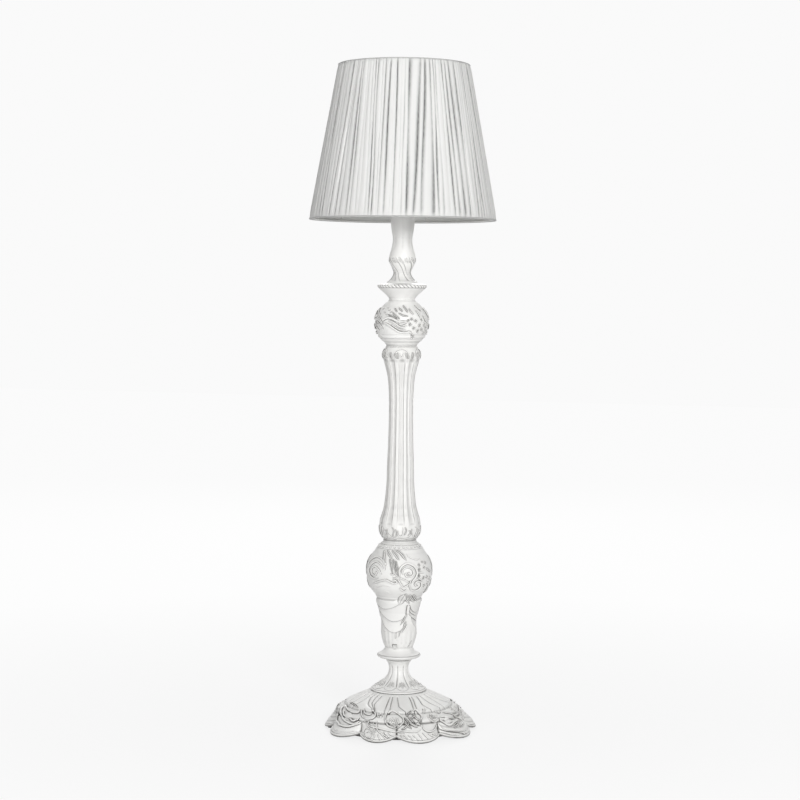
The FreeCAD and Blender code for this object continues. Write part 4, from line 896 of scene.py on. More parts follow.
def make_vase():
    """The draped vase. What the photograph shows goes over its front, and again its back."""
    surface = Surface([VASE, BALL], 1.25, vase_flat, vase_relief)
    cast("vase_carved", surface, 400, 6.0, "lower_vase", resin, 0.6)
    pool = Pool()
    collar = Carver(pool, surface)
    for number in range(30):
        collar.part(12 * number + 2, 460.8, [disc(2.9, 2.4)])
    collar.ring(465.6, 2.4, 1.4)
    collar.ring(456.6, 1.8, 1.0)
    for half in (0, 180):
        carver = Carver(pool, surface, half)
        line, part = carver.line, carver.part
        # spray of leaves under the pearls, and the strands that hang from it
        for points in ([(-25, 455), (-18, 442), (-11, 427)], [(-16, 456), (-7, 446), (2, 436)],
                       [(-3, 456), (7, 446), (16, 433)], [(6, 456), (19, 449), (30, 432)]):
            line(points, (5, 8.5, 7), (2.6, 3.6, 2.8), "leaf", (0.1, 0.25), columns=11)
        for points in ([(-4, 437), (1, 420), (4, 400)], [(3, 437), (7, 419), (10, 402)],
                       [(9, 433), (12, 416), (15, 393)]):
            line(points, (4.5, 6, 4), 3.4, "leaf", (0.1, 0.2))
        part(-10, 423, [disc(4.2, 3.4)])
        line([(-1, 402), (3, 397), (8, 401), (12, 393), (8, 388), (3, 392)], 3.6, 3.2)
        # large scroll and its eye
        line([(17, 391), (15.5, 404), (19, 417), (30, 425), (42, 418), (47.5, 404), (45, 391),
              (39, 381), (36, 373)], (4.5, 6.6, 5), (3, 4.4, 3.4), taper=(0.08, 0.12))
        line([(22, 396), (21, 408), (29, 416), (38, 411), (40.5, 401), (36, 393), (28.5, 393),
              (26, 399), (29, 404)], 4.2, 3.4, taper=(0.1, 0.05))
        part(32, 401, [disc(3.6, 4)])
        # scrolls on the left
        line([(-9, 406), (-12, 424), (-22, 434), (-36, 437), (-49, 430), (-57, 416)], 5, 2.8)
        line([(-13, 408), (-18, 420), (-32, 426), (-45, 415), (-50, 401), (-43, 388),
              (-30, 384), (-21, 388)], 4.6, 2.8, taper=(0.1, 0.2))
        line([(-15, 393), (-22, 407), (-31, 415), (-40, 407), (-39, 396), (-31, 392),
              (-27, 399), (-31, 404)], 4.2, 2.6, taper=(0.15, 0.05))
        # long curve with a curled end
        line([(-42, 367), (-31, 374), (-19, 380), (-8, 383), (1, 379), (8, 375), (12, 380),
              (8, 385), (3, 383)], 5, (2.6, 3.6, 3.4), taper=(0.2, 0.05))
        line([(-34, 362), (-20, 369), (-8, 371), (3, 366)], 7, 1.0, "lip")
        line([(-16, 356), (-8, 352), (-2, 346)], 6, 0.8, "lip")
        # ribbons below the scroll
        line([(13, 388), (18, 376), (23, 365)], 4.2, 3.2)
        line([(14, 392), (25, 385), (34, 377)], 4.2, 3.2)
        line([(23, 366), (28, 369), (34, 375)], 4, 3)
        line([(16, 366), (19, 360), (25, 356), (31, 361)], 4.2, 3)
        line([(36, 385), (34, 372), (38, 359), (48, 356), (58, 364), (57, 376), (49, 380),
              (44, 373), (48, 367), (52, 370)], 4.4, 3.6, taper=(0.05, 0.1))
        line([(45, 396), (52, 386), (61, 378)], 3.6, 2.8)
        line([(46, 403), (54, 402), (63, 399)], 3.6, 2.8)
        line([(69, 412), (77, 405), (86, 399)], 6, 3.2, "leaf")
        line([(30, 449), (38, 439), (50, 434), (62, 436)], 4, 1.4)
        for turn, z, radius in ((53, 421, 4.6), (53, 410, 4.2), (52, 393, 4.4), (62, 387, 4.6),
                                (71, 389, 5), (76, 372, 5), (67, 366, 4.4), (64, 413, 4.6),
                                (70, 424, 5), (82, 384, 5), (62, 428, 4)):
            part(turn, z, blossom(radius, 2.8), turn)
        # leaf tip, tongue and husks below the ball
        part(84, 366, [leaf(28, 16, 3.2, 2, curl=1.5)], 178)
        part(27.5, 345, [leaf(33, 21, 3.0, 1, notch=0.0, rows=26)], 158, lift=0.2)
        for points in ([(29, 349), (33, 335), (43, 321)], [(37, 345), (47, 334), (58, 323)],
                       [(46, 344), (57, 335), (68, 326)]):
            line(points, (6, 8.5, 6), 3.2, "leaf", (0.15, 0.2), columns=11)
        line([(40, 318), (40, 304), (41, 294)], 8.5, 3.4, "band", (0.05, 0.05))
        # folds that fan out from the knot
        line([(38, 297), (32, 281), (18, 265)], 5.5, 2.8, "leaf", (0.1, 0.4))
        line([(40, 277), (32, 262), (21, 252), (15, 235)], 6, 2.8, "leaf", (0.2, 0.4))
        line([(44, 270), (36, 257), (24, 246)], 4, 1.8, taper=(0.2, 0.4))
        line([(76, 222), (79, 240), (74, 254), (60, 266), (51, 280), (46, 297)], 10, 2.6, "lip",
             (0.3, 0.1))
        for points in ([(47, 316), (56, 306), (67, 301), (84, 302)],
                       [(47, 305), (60, 296), (80, 289)], [(46, 297), (62, 287), (91, 273)]):
            line(points, 8.5, 3.0, "lip", (0.1, 0.3))
        # swags of cloth
        for points in ([(-68, 330), (-54, 319), (-32, 312.5), (-11, 314), (8, 323), (18, 334)],
                       [(-68, 314), (-44, 299), (-26, 289), (-5, 282), (18, 285), (35, 298)],
                       [(-66, 298), (-46, 282), (-29, 266), (-6, 254), (14, 258), (31, 277)]):
            line(points, 15, 2.3, "lip", (0.1, 0.15))
        line([(7, 250), (5, 240), (5, 230)], 5, 1.2, "leaf")
        line([(-50, 258), (-40, 251), (-28, 251)], 5, 0.9, "lip")
        line([(52, 208), (60, 214), (70, 226)], 5, 1.2, "leaf")
        # leaves at the side
        part(104, 440, [leaf(60, 26, 2.2, 4, notch=0.2, rows=34, columns=15)], 180)
        part(98, 380, [leaf(34, 18, 2.2, 3)], 215)
        part(118, 330, [leaf(56, 22, 1.8, 4, notch=0.2, rows=34)], 180)
    pool.make("vase_ornament", resin)


# ---- column -------------------------------------------------------------------------------

COLUMN = [(40.9, 474), (41.8, 476.5), (44.6, 480.5), (48.4, 486), (51, 491.5), (52.6, 498),
          (53.3, 505), (53.2, 513), (52, 520), (49.6, 530), (46, 540.5), (43.2, 550.5),
          (40.8, 560.5), (39.2, 571), (37.9, 583), (36.6, 597), (35.4, 612), (34.6, 628),
          (34.3, 650), (33.6, 675), (32.4, 705), (31.4, 740), (30.7, 780), (30.6, 815),
          (31.4, 842), (32.8, 866), (35, 883), (37.8, 896), (40.4, 906), (43.4, 916),
          (46.6, 924.5), (48.9, 932), (49.4, 938), (48, 943.5), (44.6, 949.5), (40.4, 955),
          (38, 958)]


def flutes(turn, r, z):
    """Ten flutes between flat ridges, running out into the bulbs."""
    pitch = 2 * math.pi / 10
    place = (turn / pitch + 0.2) % 1
    across = np.sin(math.pi * np.clip((place - 0.40) / 0.60, 0, 1)) ** 0.7
    run_out = np.minimum(z - 500, 944 - z) / 26
    dip = -3.6 * across * smooth(run_out)
    edge = -0.8 * np.exp(-((place - 0.40) / 0.028) ** 2)
    edge = edge - 0.8 * np.exp(-(((place + 0.5) % 1 - 0.5) / 0.028) ** 2)
    bed = -1.5 * (window(z, 478, 520, 12) + window(z, 918, 953, 12))
    return -0.5 + dip + edge * smooth(run_out + 0.3) + bed * 0.8


def flute_painted_shade(turn, r, z):
    """Painted shade along the edges of the flutes, and on the wall of each flute turned away from
    the light.
    """
    place = (turn / (2 * math.pi / 10) + 0.2) % 1
    edges = (np.exp(-((place - 0.41) / 0.03) ** 2)
             + 1.3 * np.exp(-(((place + 0.52) % 1 - 0.5) / 0.035) ** 2))
    # Painted shade on the wall of each flute turned away from the light.
    shade_side = 0.22 * smooth((place - 0.45) / 0.1) * smooth((0.97 - place) / 0.3)
    return np.clip(0.62 * edges + shade_side, 0, 1) * smooth(np.minimum(z - 508, 936 - z) / 30)


def make_column():
    """The fluted column with five palmettes at its head and five at its foot."""
    surface = Surface([COLUMN], 2.6, relief=flutes)
    cast("column_carved", surface, 500, 6.0, "fluted_column", resin, 0.35, lines=flute_painted_shade)
    pool = Pool()
    for number in range(5):
        line = Carver(pool, surface, 72 * number + 16).line
        # palmette under a hood, at the head of a flute
        line([(-25, 930), (-22, 942), (-12, 950), (0, 952), (12, 949), (22, 941), (26, 928)],
             3.6, 1.7, taper=(0.15, 0.15))
        for points in ([(-16, 943), (-19, 936), (-12, 924)], [(-11, 945), (-12, 936), (-8, 925)],
                       [(11, 945), (14, 936), (19, 926)], [(16, 943), (20, 935), (24, 924)]):
            line(points, 4.2, 1.9, "leaf")
        line([(-5, 945), (-5, 935), (0, 930), (5, 935), (5, 945)], 3.2, 1.9)
        # and the one at its foot
        for points in ([(-24, 512), (-17, 502), (-21, 490), (-15, 482)],
                       [(-13, 508), (-9, 497), (-13, 486)], [(14, 512), (18, 502), (13, 490)],
                       [(25, 505), (29, 497), (24, 487)]):
            line(points, 4.2, 2.0, "leaf")
        line([(-5, 504), (-5, 493), (1, 487), (8, 492), (9, 503), (7, 513)], 3.4, 2.6)
        line([(-36, 497), (-28, 487), (-10, 481), (6, 480), (26, 483), (36, 492)], 3.2, 1.6)
        for points in ([(36, 946), (33, 937), (36, 926)], [(36, 946), (40, 937), (38, 926)],
                       [(36, 508), (33, 500), (36, 490)]):
            line(points, 3.8, 2.2, "leaf")
    for z in (478, 955):
        Carver(pool, surface).ring(z, 2.0, 0.9)
    pool.make("column_leaves", resin)


# ---- knop, pan, stem ----------------------------------------------------------------------

KNOP = [(38, 958), (38.3, 959.4), (40, 962.5), (44.4, 967), (50.6, 972.4), (56.6, 978.6),
        (61.6, 985), (65.4, 993), (68, 1002), (69.6, 1011), (70, 1019), (69, 1027.5),
        (67, 1035), (63.8, 1042.4), (59.4, 1049.6), (53, 1056.4), (45.4, 1062), (38.6, 1066.6),
        (33.8, 1070.4), (32, 1074)]


def make_knop():
    """The ball of leaves and flowers, its front repeated at the back."""
    def bed(turn, r, z):
        rings = 0.45 * window(z, 962, 990, 5) * np.cos(2 * math.pi * (z - 963) / 8.6)
        return rings - 2.9 * window(z, 984, 1062, 10) - 0.4

    surface = Surface([KNOP], 1.2, relief=bed)
    cast("knop_carved", surface, 300, 6.0, "leaf_knop", resin, 0.5)
    pool = Pool()
    for half in (0, 180):
        carver = Carver(pool, surface, half)
        line, part = carver.line, carver.part
        # wave of ribbons across the front
        line([(-31, 1017), (-23, 1025), (-14, 1029), (-4, 1026), (7, 1021), (16, 1020)],
             (5, 8, 5), 4, taper=(0.15, 0.2))
        line([(-28, 1015), (-18, 1013), (-9, 1007), (0, 1000), (10, 993.5), (22, 991),
              (33, 994), (41, 986)], 5.4, 3.8, taper=(0.15, 0.1))
        line([(-15, 1020), (-4, 1018), (5, 1012), (12, 1006), (20, 1005), (28, 1010)], 4.6, 3.4)
        line([(-8, 1013), (2, 1005), (13, 999), (26, 998)], 3.6, 2.6)
        part(8, 1014, [leaf(26, 13, 3.2, 1, notch=0.0)], -80, lift=0.4)
        # strokes on its left
        for points in ([(-50, 1036), (-38, 1024), (-26, 1011)], [(-54, 1022), (-38, 1011),
                       (-27, 998)], [(-58, 1008), (-50, 1000), (-44, 994)]):
            line(points, (4, 6.5, 4), 3, "leaf")
        # leaves above
        for points, width in (([(-3, 1055), (1, 1050), (6, 1043)], 5.5),
                              ([(7, 1056), (12, 1051), (18, 1044)], 5.5),
                              ([(18, 1062), (25, 1053), (30, 1041)], 6),
                              ([(-7, 1044), (3, 1035), (13, 1025)], 6.5),
                              ([(7, 1042), (18, 1036), (31, 1034)], 6),
                              ([(-18, 1038), (-6, 1034), (6, 1027)], 6),
                              ([(57, 1062), (63, 1055), (69, 1046)], 6),
                              ([(51, 1050), (56, 1041), (59, 1029)], 6),
                              ([(68, 1036), (73, 1028), (77, 1018)], 6),
                              ([(34, 1054), (38, 1045), (44, 1037)], 5.5),
                              ([(84, 1056), (90, 1044), (94, 1030)], 6.5),
                              ([(104, 1050), (112, 1038), (118, 1024)], 6.5),
                              ([(98, 1014), (108, 1004), (118, 998)], 6.5),
                              ([(112, 1056), (122, 1048), (132, 1038)], 6)):
            line(points, (0.6 * width, width, 0.6 * width), 3.2, "leaf")
        for turn, z in ((-30, 1045), (-20, 1049), (-42, 1042), (-28, 1056), (-36, 1034),
                        (-13, 1042), (-53, 1048), (-40, 1055), (-50, 1036), (-24, 1038),
                        (-62, 1042), (-64, 1054)):
            part(turn, z, [leaf(8, 4.6, 1.8, 2)], 4 * turn, lift=0.1)
        for turn, z, radius in ((34, 1012, 5), (47, 1020, 5.4), (57, 1010, 5.6),
                                (71, 1012, 5.4), (54, 996, 5.2), (43, 1003, 5), (65, 999, 5),
                                (79, 1003, 5), (62, 1024, 4.6), (38, 1027, 4.6), (85, 1014, 5.4),
                                (75, 990, 5), (88, 992, 5), (30, 1023, 4), (100, 1028, 5),
                                (126, 1014, 5), (110, 990, 5), (120, 1034, 4.6)):
            part(turn, z, blossom(radius, 3.0), 3 * turn, lift=0.1)
        part(43, 981.5, blossom(5.6, 3), lift=0.2)
        line([(41, 990), (42, 985)], 3, 2.4)
        line([(-64, 990), (-44, 984), (-26, 980), (-8, 980), (8, 984)], 6, 1.0, "lip")
    pool.make("knop_ornament", resin)


def make_pan():
    """The drip pan with a rope round its rim."""
    bowl = [(31.8, 1074), (33.2, 1077), (35.8, 1080.4), (39.6, 1084.4), (44.4, 1088.8),
            (49.8, 1093.6), (55, 1098.2), (58.2, 1101.8)]
    rim = [(58.2, 1101.8), (60, 1103), (61, 1105.4), (60.6, 1107.8), (58.8, 1109.4),
           (56.8, 1109.9)]
    top = [(56.8, 1109.9), (52, 1111.2), (46, 1112.6), (39, 1113.5)]

    def rope(turn, r, z):
        strand = np.abs(np.sin(turn * 19 + (z - 1106) * 0.28))
        return 2.2 * window(z, 1101.4, 1110, 2.5) * (strand ** 0.55 - 0.85)

    # Painted shade in the gaps between the rope's strands and in the crease under the rim.
    def lines(turn, r, z):
        strand = np.abs(np.sin(turn * 19 + (z - 1106) * 0.28))
        gap = 0.8 * smooth((0.5 - strand) / 0.4) * window(z, 1102, 1110, 2)
        return np.maximum(gap, 0.75 * np.exp(-((z - 1101.6) / 0.9) ** 2) * (r > 50))

    surface = Surface([bowl, rim, top], 0.8, relief=rope)
    cast("pan_rope", surface, 560, 6.0, "drip_pan", resin, 0.35, lines=lines)


STEM = [(39, 1113.5), (38.4, 1114.8), (36, 1117.6), (31.6, 1121.6), (27.4, 1126), (24.2, 1131),
        (22.2, 1136), (21.8, 1139), (22.8, 1143.6), (25, 1148), (27.8, 1152.6), (30.2, 1157.6),
        (32, 1163), (32.9, 1169), (33, 1175), (32.2, 1181), (30.4, 1188), (28, 1197),
        (26, 1207), (24.8, 1216), (24.6, 1223), (25.6, 1231), (27.4, 1241), (29, 1252),
        (30.2, 1265), (31.2, 1277), (32.4, 1286), (33, 1292)]


def twist(turn, z):
    """Where a point lies across the six bands that twist round the stem."""
    return (turn - math.radians(8) + (z - 1155) * 0.018) / (math.pi / 3) % 1


def stem_relief(turn, r, z):
    """Six bands that twist up to the leaf tips, and soft upright panels above them."""
    place = twist(turn, z)
    raised = smooth((place + 0.02) / 0.04) * smooth((0.34 - place) / 0.04)
    bands = window(z, 1120, 1166, 5) * (1.3 * raised - 1.3)
    panels = -0.8 * window(z, 1196, 1284, 18) * (np.abs(np.sin(4 * turn + 0.5)) ** 5)
    return bands + panels


def stem_painted_shade(turn, r, z):
    """Painted shade along both edges of each band."""
    place = twist(turn, z)
    first = np.exp(-(((place + 0.5) % 1 - 0.5) / 0.035) ** 2)
    last = np.exp(-((place - 0.33) / 0.035) ** 2)
    return 0.8 * np.maximum(first, last) * window(z, 1120, 1176, 10)


def make_stem():
    """The candle stem: twisted bands, leaf tips, and a plain upper part."""
    lip = [(33, 1292), (33.8, 1294), (33.8, 1298), (33, 1300)]
    surface = Surface([STEM, lip], 1.0, relief=stem_relief)
    cast("stem_carved", surface, 260, 6.0, "candle_stem", resin, 0.45, lines=stem_painted_shade)
    pool = Pool()
    for number in range(6):
        carver = Carver(pool, surface, 60 * number)
        for turn, z, length in ((-26, 1164, 12), (-16, 1161, 17), (-4, 1162, 14), (9, 1164, 15),
                                (20, 1160, 13)):
            carver.part(turn, z, [leaf(length, 6.5, 1.5, 2, curl=0.5)], 22, lift=-0.3)
    pool.make("stem_leaves", resin)


# ---- metal and plastic --------------------------------------------------------------------

def thread(pitch, depth, low, high):
    """Relief of a screw thread between two heights."""
    def relief(turn, r, z):
        phase = ((z / pitch - turn / (2 * math.pi)) % 1)
        return depth * (np.abs(phase - 0.5) * 4 - 1) * window(z, low, high, pitch)
    return relief


def make_fittings():
    """The stem's cap and the parts of the lamp holder."""
    outline = [[(28, 1300), (30, 1300)], [(30, 1300), (30, 1301.6), (29, 1302.8), (26.5, 1303.6),
                                          (20, 1304), (12, 1304)]]
    cast("stem_cap_turned", Surface(outline, 0.6), 96, 6.0, "stem_cap", enamel)
    outline = [[(7, 1342), (9, 1342)], [(9, 1342), (9, 1347.5)],
               [(9, 1347.5), (13, 1348.4), (17.4, 1350.4), (20, 1353.6), (20.5, 1357)],
               [(20.5, 1357), (20.5, 1363)], [(20.5, 1363), (19.8, 1364), (18, 1364)]]

    def ribs(turn, r, z):
        return 0.35 * window(z, 1355, 1362.5, 1.5) * np.cos(40 * turn)

    cast("holder_cap_turned", Surface(outline, 0.6, relief=ribs), 320, 5.05, "holder_cap",
         white_plastic)
    outline = [[(18, 1364), (23.6, 1364), (24, 1364.4)], [(24, 1364.4), (24, 1366.6)],
               [(24, 1366.6), (23.6, 1367), (19.2, 1367)],
               [(19.2, 1367), (19.2, 1398.6), (18.2, 1400)], [(18.2, 1400), (16, 1400)],
               [(16, 1400), (16, 1364.2)]]
    cast("holder_body_threaded", Surface(outline, 0.45, relief=thread(2.4, 0.28, 1378, 1398)),
         72, 17.0, "holder_body", white_plastic)
    outline = [[(19.6, 1369), (24.4, 1369), (24.8, 1369.5)], [(24.8, 1369.5), (24.8, 1376)],
               [(24.8, 1376), (24, 1377)], [(24, 1377), (19.6, 1377)]]

    def grips(turn, r, z):
        return -0.45 * window(z, 1370, 1376, 1) * np.abs(np.cos(18 * turn)) ** 4

    cast("clamp_ring_ribbed", Surface(outline, 0.5, relief=grips), 288, 19.6, "shade_clamp",
         white_plastic, body="clamp")
    outline = [[(13.6, 1372), (14.2, 1372)], [(14.2, 1372), (14.2, 1394)],
               [(14.2, 1394), (13.65, 1394)], [(13.65, 1394), (13.6, 1372.4)]]
    cast("screw_shell_threaded", Surface(outline, 0.45), 72, 13.8, "screw_shell", brass)


def make_bulb():
    """The bulb's threaded cap and its glass."""
    cap = [[(8, 1378.1), (12.2, 1378.1)], [(12.2, 1378.1), (12.7, 1379.2)],
           [(12.7, 1379.2), (12.7, 1397), (12.9, 1400.1)], [(12.9, 1400.1), (10, 1400.1)]]
    cast("bulb_cap_threaded", Surface(cap, 0.4, relief=thread(3.6, 0.45, 1381, 1396)), 72, 7.0,
         "bulb_cap", tin, body="bulb")
    glass = [[(9, 1400.1), (12.6, 1400.1)],
             [(12.6, 1400.1), (13.2, 1403), (14, 1408), (16.6, 1415.6), (20.6, 1423.6),
              (24.6, 1430.9), (27.6, 1437.4), (29.4, 1442.6), (30, 1448.1), (29.2, 1455),
              (27, 1461.4), (23.2, 1467.2), (18, 1472.1), (12, 1475.6), (6, 1477.5),
              (0.6, 1478.1)]]
    cast("bulb_glass_blown", Surface(glass, 1.2), 96, 0.3, "bulb_glass", frosted,
         body="bulb")


def make_grommet():
    """The rubber grommet of the cord inlet, turned on its own axis and laid along +Y."""
    outline = [[(3.5, 167), (5.5, 167)], [(5.5, 167), (5.5, 181)], [(5.5, 181), (7.4, 181)],
               [(7.4, 181), (8, 181.7), (7.6, 182.7), (6.6, 183)], [(6.6, 183), (4.2, 183)],
               [(4.2, 183), (3.5, 182.4), (3.5, 181)]]
    surface = Surface(outline, 0.5)
    turns = np.linspace(0, 2 * math.pi, 48, endpoint=False)
    points = surface.raw(turns[None, :], surface.s[:, None])
    x, y, z = points[..., 0], points[..., 1], points[..., 2]
    pool = Pool()
    pool.grid(np.stack([x, z, 14 - y], -1)[:, ::-1], 0.0, around=True, closed=True)
    pool.make("cord_grommet_turned", pale_rubber,
              replaces=("cord_grommet",))


def make_switch_frame():
    """A square frame with round corners in the flat spot of the vase."""
    low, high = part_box("switch_frame")
    centre = 500 * (low.z + high.z)
    angles = np.linspace(0, 2 * math.pi, 96, endpoint=False)

    def loop(half, y, power):
        c, s = np.cos(angles), np.sin(angles)
        reach = half / (np.abs(c) ** power + np.abs(s) ** power) ** (1 / power)
        return np.stack([reach * c, np.full_like(c, y), centre + reach * s], -1)

    rows = [loop(3.4, -35, 12), loop(5.2, -35, 8), loop(5.2, -36.3, 8), loop(4.95, -36.8, 8),
            loop(4.6, -37, 8), loop(3.9, -37, 10), loop(3.5, -36.8, 12), loop(3.4, -36.3, 12)]
    pool = Pool()
    pool.grid(np.array(rows), 0.0, around=True, closed=True)
    pool.make("switch_frame_moulded", white_plastic,
              replaces=("switch_frame",), sharp=40)


# ---- shade --------------------------------------------------------------------------------

SHADE_FOOT, SHADE_HEIGHT = 1269.0, 381.0
WIRE, ROD = 2, 1.5


FRAME_FOOT, FRAME_HEAD = (3, 225), (378, 156.8)


def cone(height):
    """Outside of the wire frame at a height above the lower edge of the cloth."""
    share = (height - FRAME_FOOT[0]) / (FRAME_HEAD[0] - FRAME_FOOT[0])
    return FRAME_FOOT[1] + (FRAME_HEAD[1] - FRAME_FOOT[1]) * share


def ring_wire(pool, radius, z):
    """A ring of round wire."""
    a = np.linspace(0, 2 * math.pi, 12, endpoint=False)[:, None]
    turns = np.linspace(0, 2 * math.pi, 160, endpoint=False)[None, :]
    r = radius + WIRE * np.cos(a) + 0 * turns
    points = np.stack([r * np.sin(turns), -r * np.cos(turns),
                       z + WIRE * np.sin(a) + 0 * turns], -1)
    pool.grid(points, 0.0, around=True, closed=True)


def tube(pool, path):
    """A round rod along points, closed at both ends."""
    path = np.array(path, float)
    way = np.gradient(path, axis=0)
    way /= np.linalg.norm(way, axis=1, keepdims=True)
    side = np.cross(way, (0, 0, 1.0))
    side /= np.maximum(np.linalg.norm(side, axis=1, keepdims=True), 1e-9)
    other = np.cross(way, side)
    a = np.linspace(0, 2 * math.pi, 12, endpoint=False)[None, :, None]
    rows = path[:, None] + ROD * (side[:, None] * np.cos(a) + other[:, None] * np.sin(a))
    ends = path[[0, -1]][:, None] + 0.02 * (rows[[0, -1]] - path[[0, -1]][:, None])
    pool.grid(np.concatenate([ends[:1], rows, ends[1:]]), 0.0, around=True)


def make_frame():
    """The wire frame of the shade and the carrier that rests on the lamp holder."""
    for name, node, height in (("bottom_wire", "bottom_ring", FRAME_FOOT[0]),
                               ("top_wire", "top_ring", FRAME_HEAD[0])):
        pool = Pool()
        ring_wire(pool, cone(height) - WIRE, SHADE_FOOT + height)
        pool.make(name, enamel, "shade", (node,))
    pool = Pool()
    for number in range(6):
        turn = math.radians(60 * number + 30)
        ends = [np.array([(cone(h) - WIRE) * math.cos(turn), (cone(h) - WIRE) * math.sin(turn),
                          SHADE_FOOT + h]) for h in (5.2, 375.8)]
        tube(pool, [ends[0] + (ends[1] - ends[0]) * t for t in np.linspace(0, 1, 20)])
    pool.make("rib_wires", enamel, "shade", ("shade_ribs",))
    plate = [[(19.9, 1367), (26, 1367)], [(26, 1367), (26, 1369)], [(26, 1369), (19.9, 1369)]]
    cast("carrier_plate", Surface(plate, 0.7), 96, 19.9, "shade_fitter", enamel,
         body="shade")
    pool = Pool()
    for number in range(3):
        turn = math.radians(120 * number + 30)
        reach = cone(1392 - SHADE_FOOT) - 3.9
        corners = [(24.5, 1368), (28, 1368), (33, 1368.3), (40, 1369.4), (reach * 0.6, 1379.6),
                   (reach, 1392)]
        line = spline([(r * math.cos(turn), r * math.sin(turn), z) for r, z in corners], 40)
        tube(pool, line)
    pool.make("carrier_arms", enamel, "shade")


# Folds of the gathered cloth that stand out in the photograph: the turn of each at the top
# and at the bottom edge.
MARKED = [(-45.8, -42.6), (-31.6, -34.8), (-27, -29.4), (-22.1, -20.5), (-8.3, -5.2),
          (-5.9, -3.4), (5.2, 4.3), (10.4, 9.7), (20.5, 17.8), (30.1, 21.9), (33.8, 26.9),
          (38.1, 34.8), (40.9, 38.2), (48.8, 49.3), (52.4, 52.6), (55.9, 57.3), (62.9, 61.6),
          (72.1, 69.2), (76.9, 75.8)]


def fold_lines(seed):
    """Turns of every fold line at the top and bottom edge, and how deep it cuts, 0 to 1."""
    random = np.random.default_rng(seed)
    marked = MARKED + [(360 + MARKED[0][0], 360 + MARKED[0][1])]
    rest = []
    at = MARKED[-1][0] + random.uniform(5, 9)
    while at < marked[-1][0] - 5:
        rest.append((at, at + random.uniform(-2, 2)))
        at += random.choice([3.2, 5.5, 9, 13]) * random.uniform(0.8, 1.2)
    marked = MARKED + rest + marked[-1:]
    lines = []
    for (top, low), (next_top, next_low) in zip(marked, marked[1:]):
        lines.append((top, low, random.uniform(0.85, 1.0)))
        count = max(0, round(min(next_top - top, next_low - low) / 2.9) - 1)
        shares = (np.arange(1, count + 1) + random.uniform(-0.25, 0.25, count)) / (count + 1)
        for share in shares:
            lines.append((top + (next_top - top) * share,
                          low + (next_low - low) * (share + random.uniform(-0.05, 0.05)),
                          random.choice([0.12, 0.2, 0.3, 0.45, 0.7])))
    return np.array(lines), random


def make_cover():
    """The gathered outer cloth: a ridge between each two fold lines, closed at the back."""
    lines, random = fold_lines(7)
    count, across, rows = len(lines), 9, 56
    heights = np.linspace(0, SHADE_HEIGHT, rows)
    share = heights / SHADE_HEIGHT
    wander = random.uniform(-0.5, 0.5, (2, count))
    wave = (wander[0][None, :] * np.sin(math.pi * share)[:, None]
            + wander[1][None, :] * np.sin(2 * math.pi * share)[:, None])
    turns = lines[:, 1] + (lines[:, 0] - lines[:, 1]) * share[:, None] + wave
    after = np.concatenate([turns[:, 1:], turns[:, :1] + 360], 1)
    fade = 0.75 + 0.25 * np.sin(2 * math.pi * (share[:, None] * random.uniform(0.5, 1.6, count)
                                               + random.uniform(0, 1, count)))
    depth = lines[:, 2][None, :] * fade
    depth_after = np.concatenate([depth[:, 1:], depth[:, :1]], 1)
    f = np.arange(across) / across
    turn = turns[..., None] + (after - turns)[..., None] * f
    width = np.radians(after - turns) * cone(heights)[:, None]
    ridge = np.clip(0.45 * width, 1.4, 5.0)
    cut = depth[..., None] * (1 - f) ** 5 + depth_after[..., None] * f ** 5
    bump_up = ridge[..., None] * (1 - cut * 0.9)
    bump_up = bump_up * (0.86 + 0.14 * np.sin(math.pi * f))
    held = smooth((heights - 3) / 16) * smooth((SHADE_HEIGHT - heights - 2) / 9)
    bump_up = 2.4 + (bump_up - 2.4) * (0.35 + 0.65 * held)[:, None, None]
    turn, bump_up = turn.reshape(rows, -1), bump_up.reshape(rows, -1)
    # Painted shade in the fold valleys, less near the edges where the cloth is held.
    grey = np.clip(1.5 * cut.reshape(rows, -1) - 0.15, 0, 1) * (0.35 + 0.65 * held)[:, None]
    turn = np.radians(turn)
    r = cone(heights)[:, None] + 2.2 + bump_up
    outside = np.stack([r * np.sin(turn), -r * np.cos(turn),
                        SHADE_FOOT + heights[:, None] + 0 * turn], -1)
    inside = []
    for row in (-1, 0):
        r = cone(heights[row]) + 1.5
        inside.append(np.stack([r * np.sin(turn[row]), -r * np.cos(turn[row]),
                                np.full(turn.shape[1], SHADE_FOOT + heights[row])], -1))
    pool = Pool()
    pool.grid(np.concatenate([outside, np.array(inside)]),
              np.concatenate([grey, 0 * grey[:2]]), around=True, closed=True)
    return pool.make("shade_cover_gathered", cloth, "shade", ("shade_cover",),
                     sharp=80)


def band(name, low, high, out):
    """A narrow band of cloth folded round an edge of the shade; its grey paints a shaded line
    along that edge.
    """
    turns = np.linspace(0, 2 * math.pi, 480, endpoint=False)[None, :]
    pucker = 0.22 * np.sin(turns * 97) + 0.16 * np.sin(turns * 61 + 1)
    rows = []
    middle = (low + high) / 2
    for height, inset in ((low, 0.8), (low + 0.6, 0.1), (middle, 0), (high - 0.6, 0.1),
                          (high, 0.8), (high, 5.8), (middle, 6.4), (low, 5.8)):
        r = cone(height) + out - inset + pucker * (inset < 0.5)
        rows.append(np.stack([r * np.sin(turns), -r * np.cos(turns),
                              SHADE_FOOT + height + 0 * turns], -1)[0])
    pool = Pool()
    pool.grid(np.array(rows), 0.0, around=True, closed=True)
    return pool.make(name, painted_rim_shade, "shade", sharp=70)


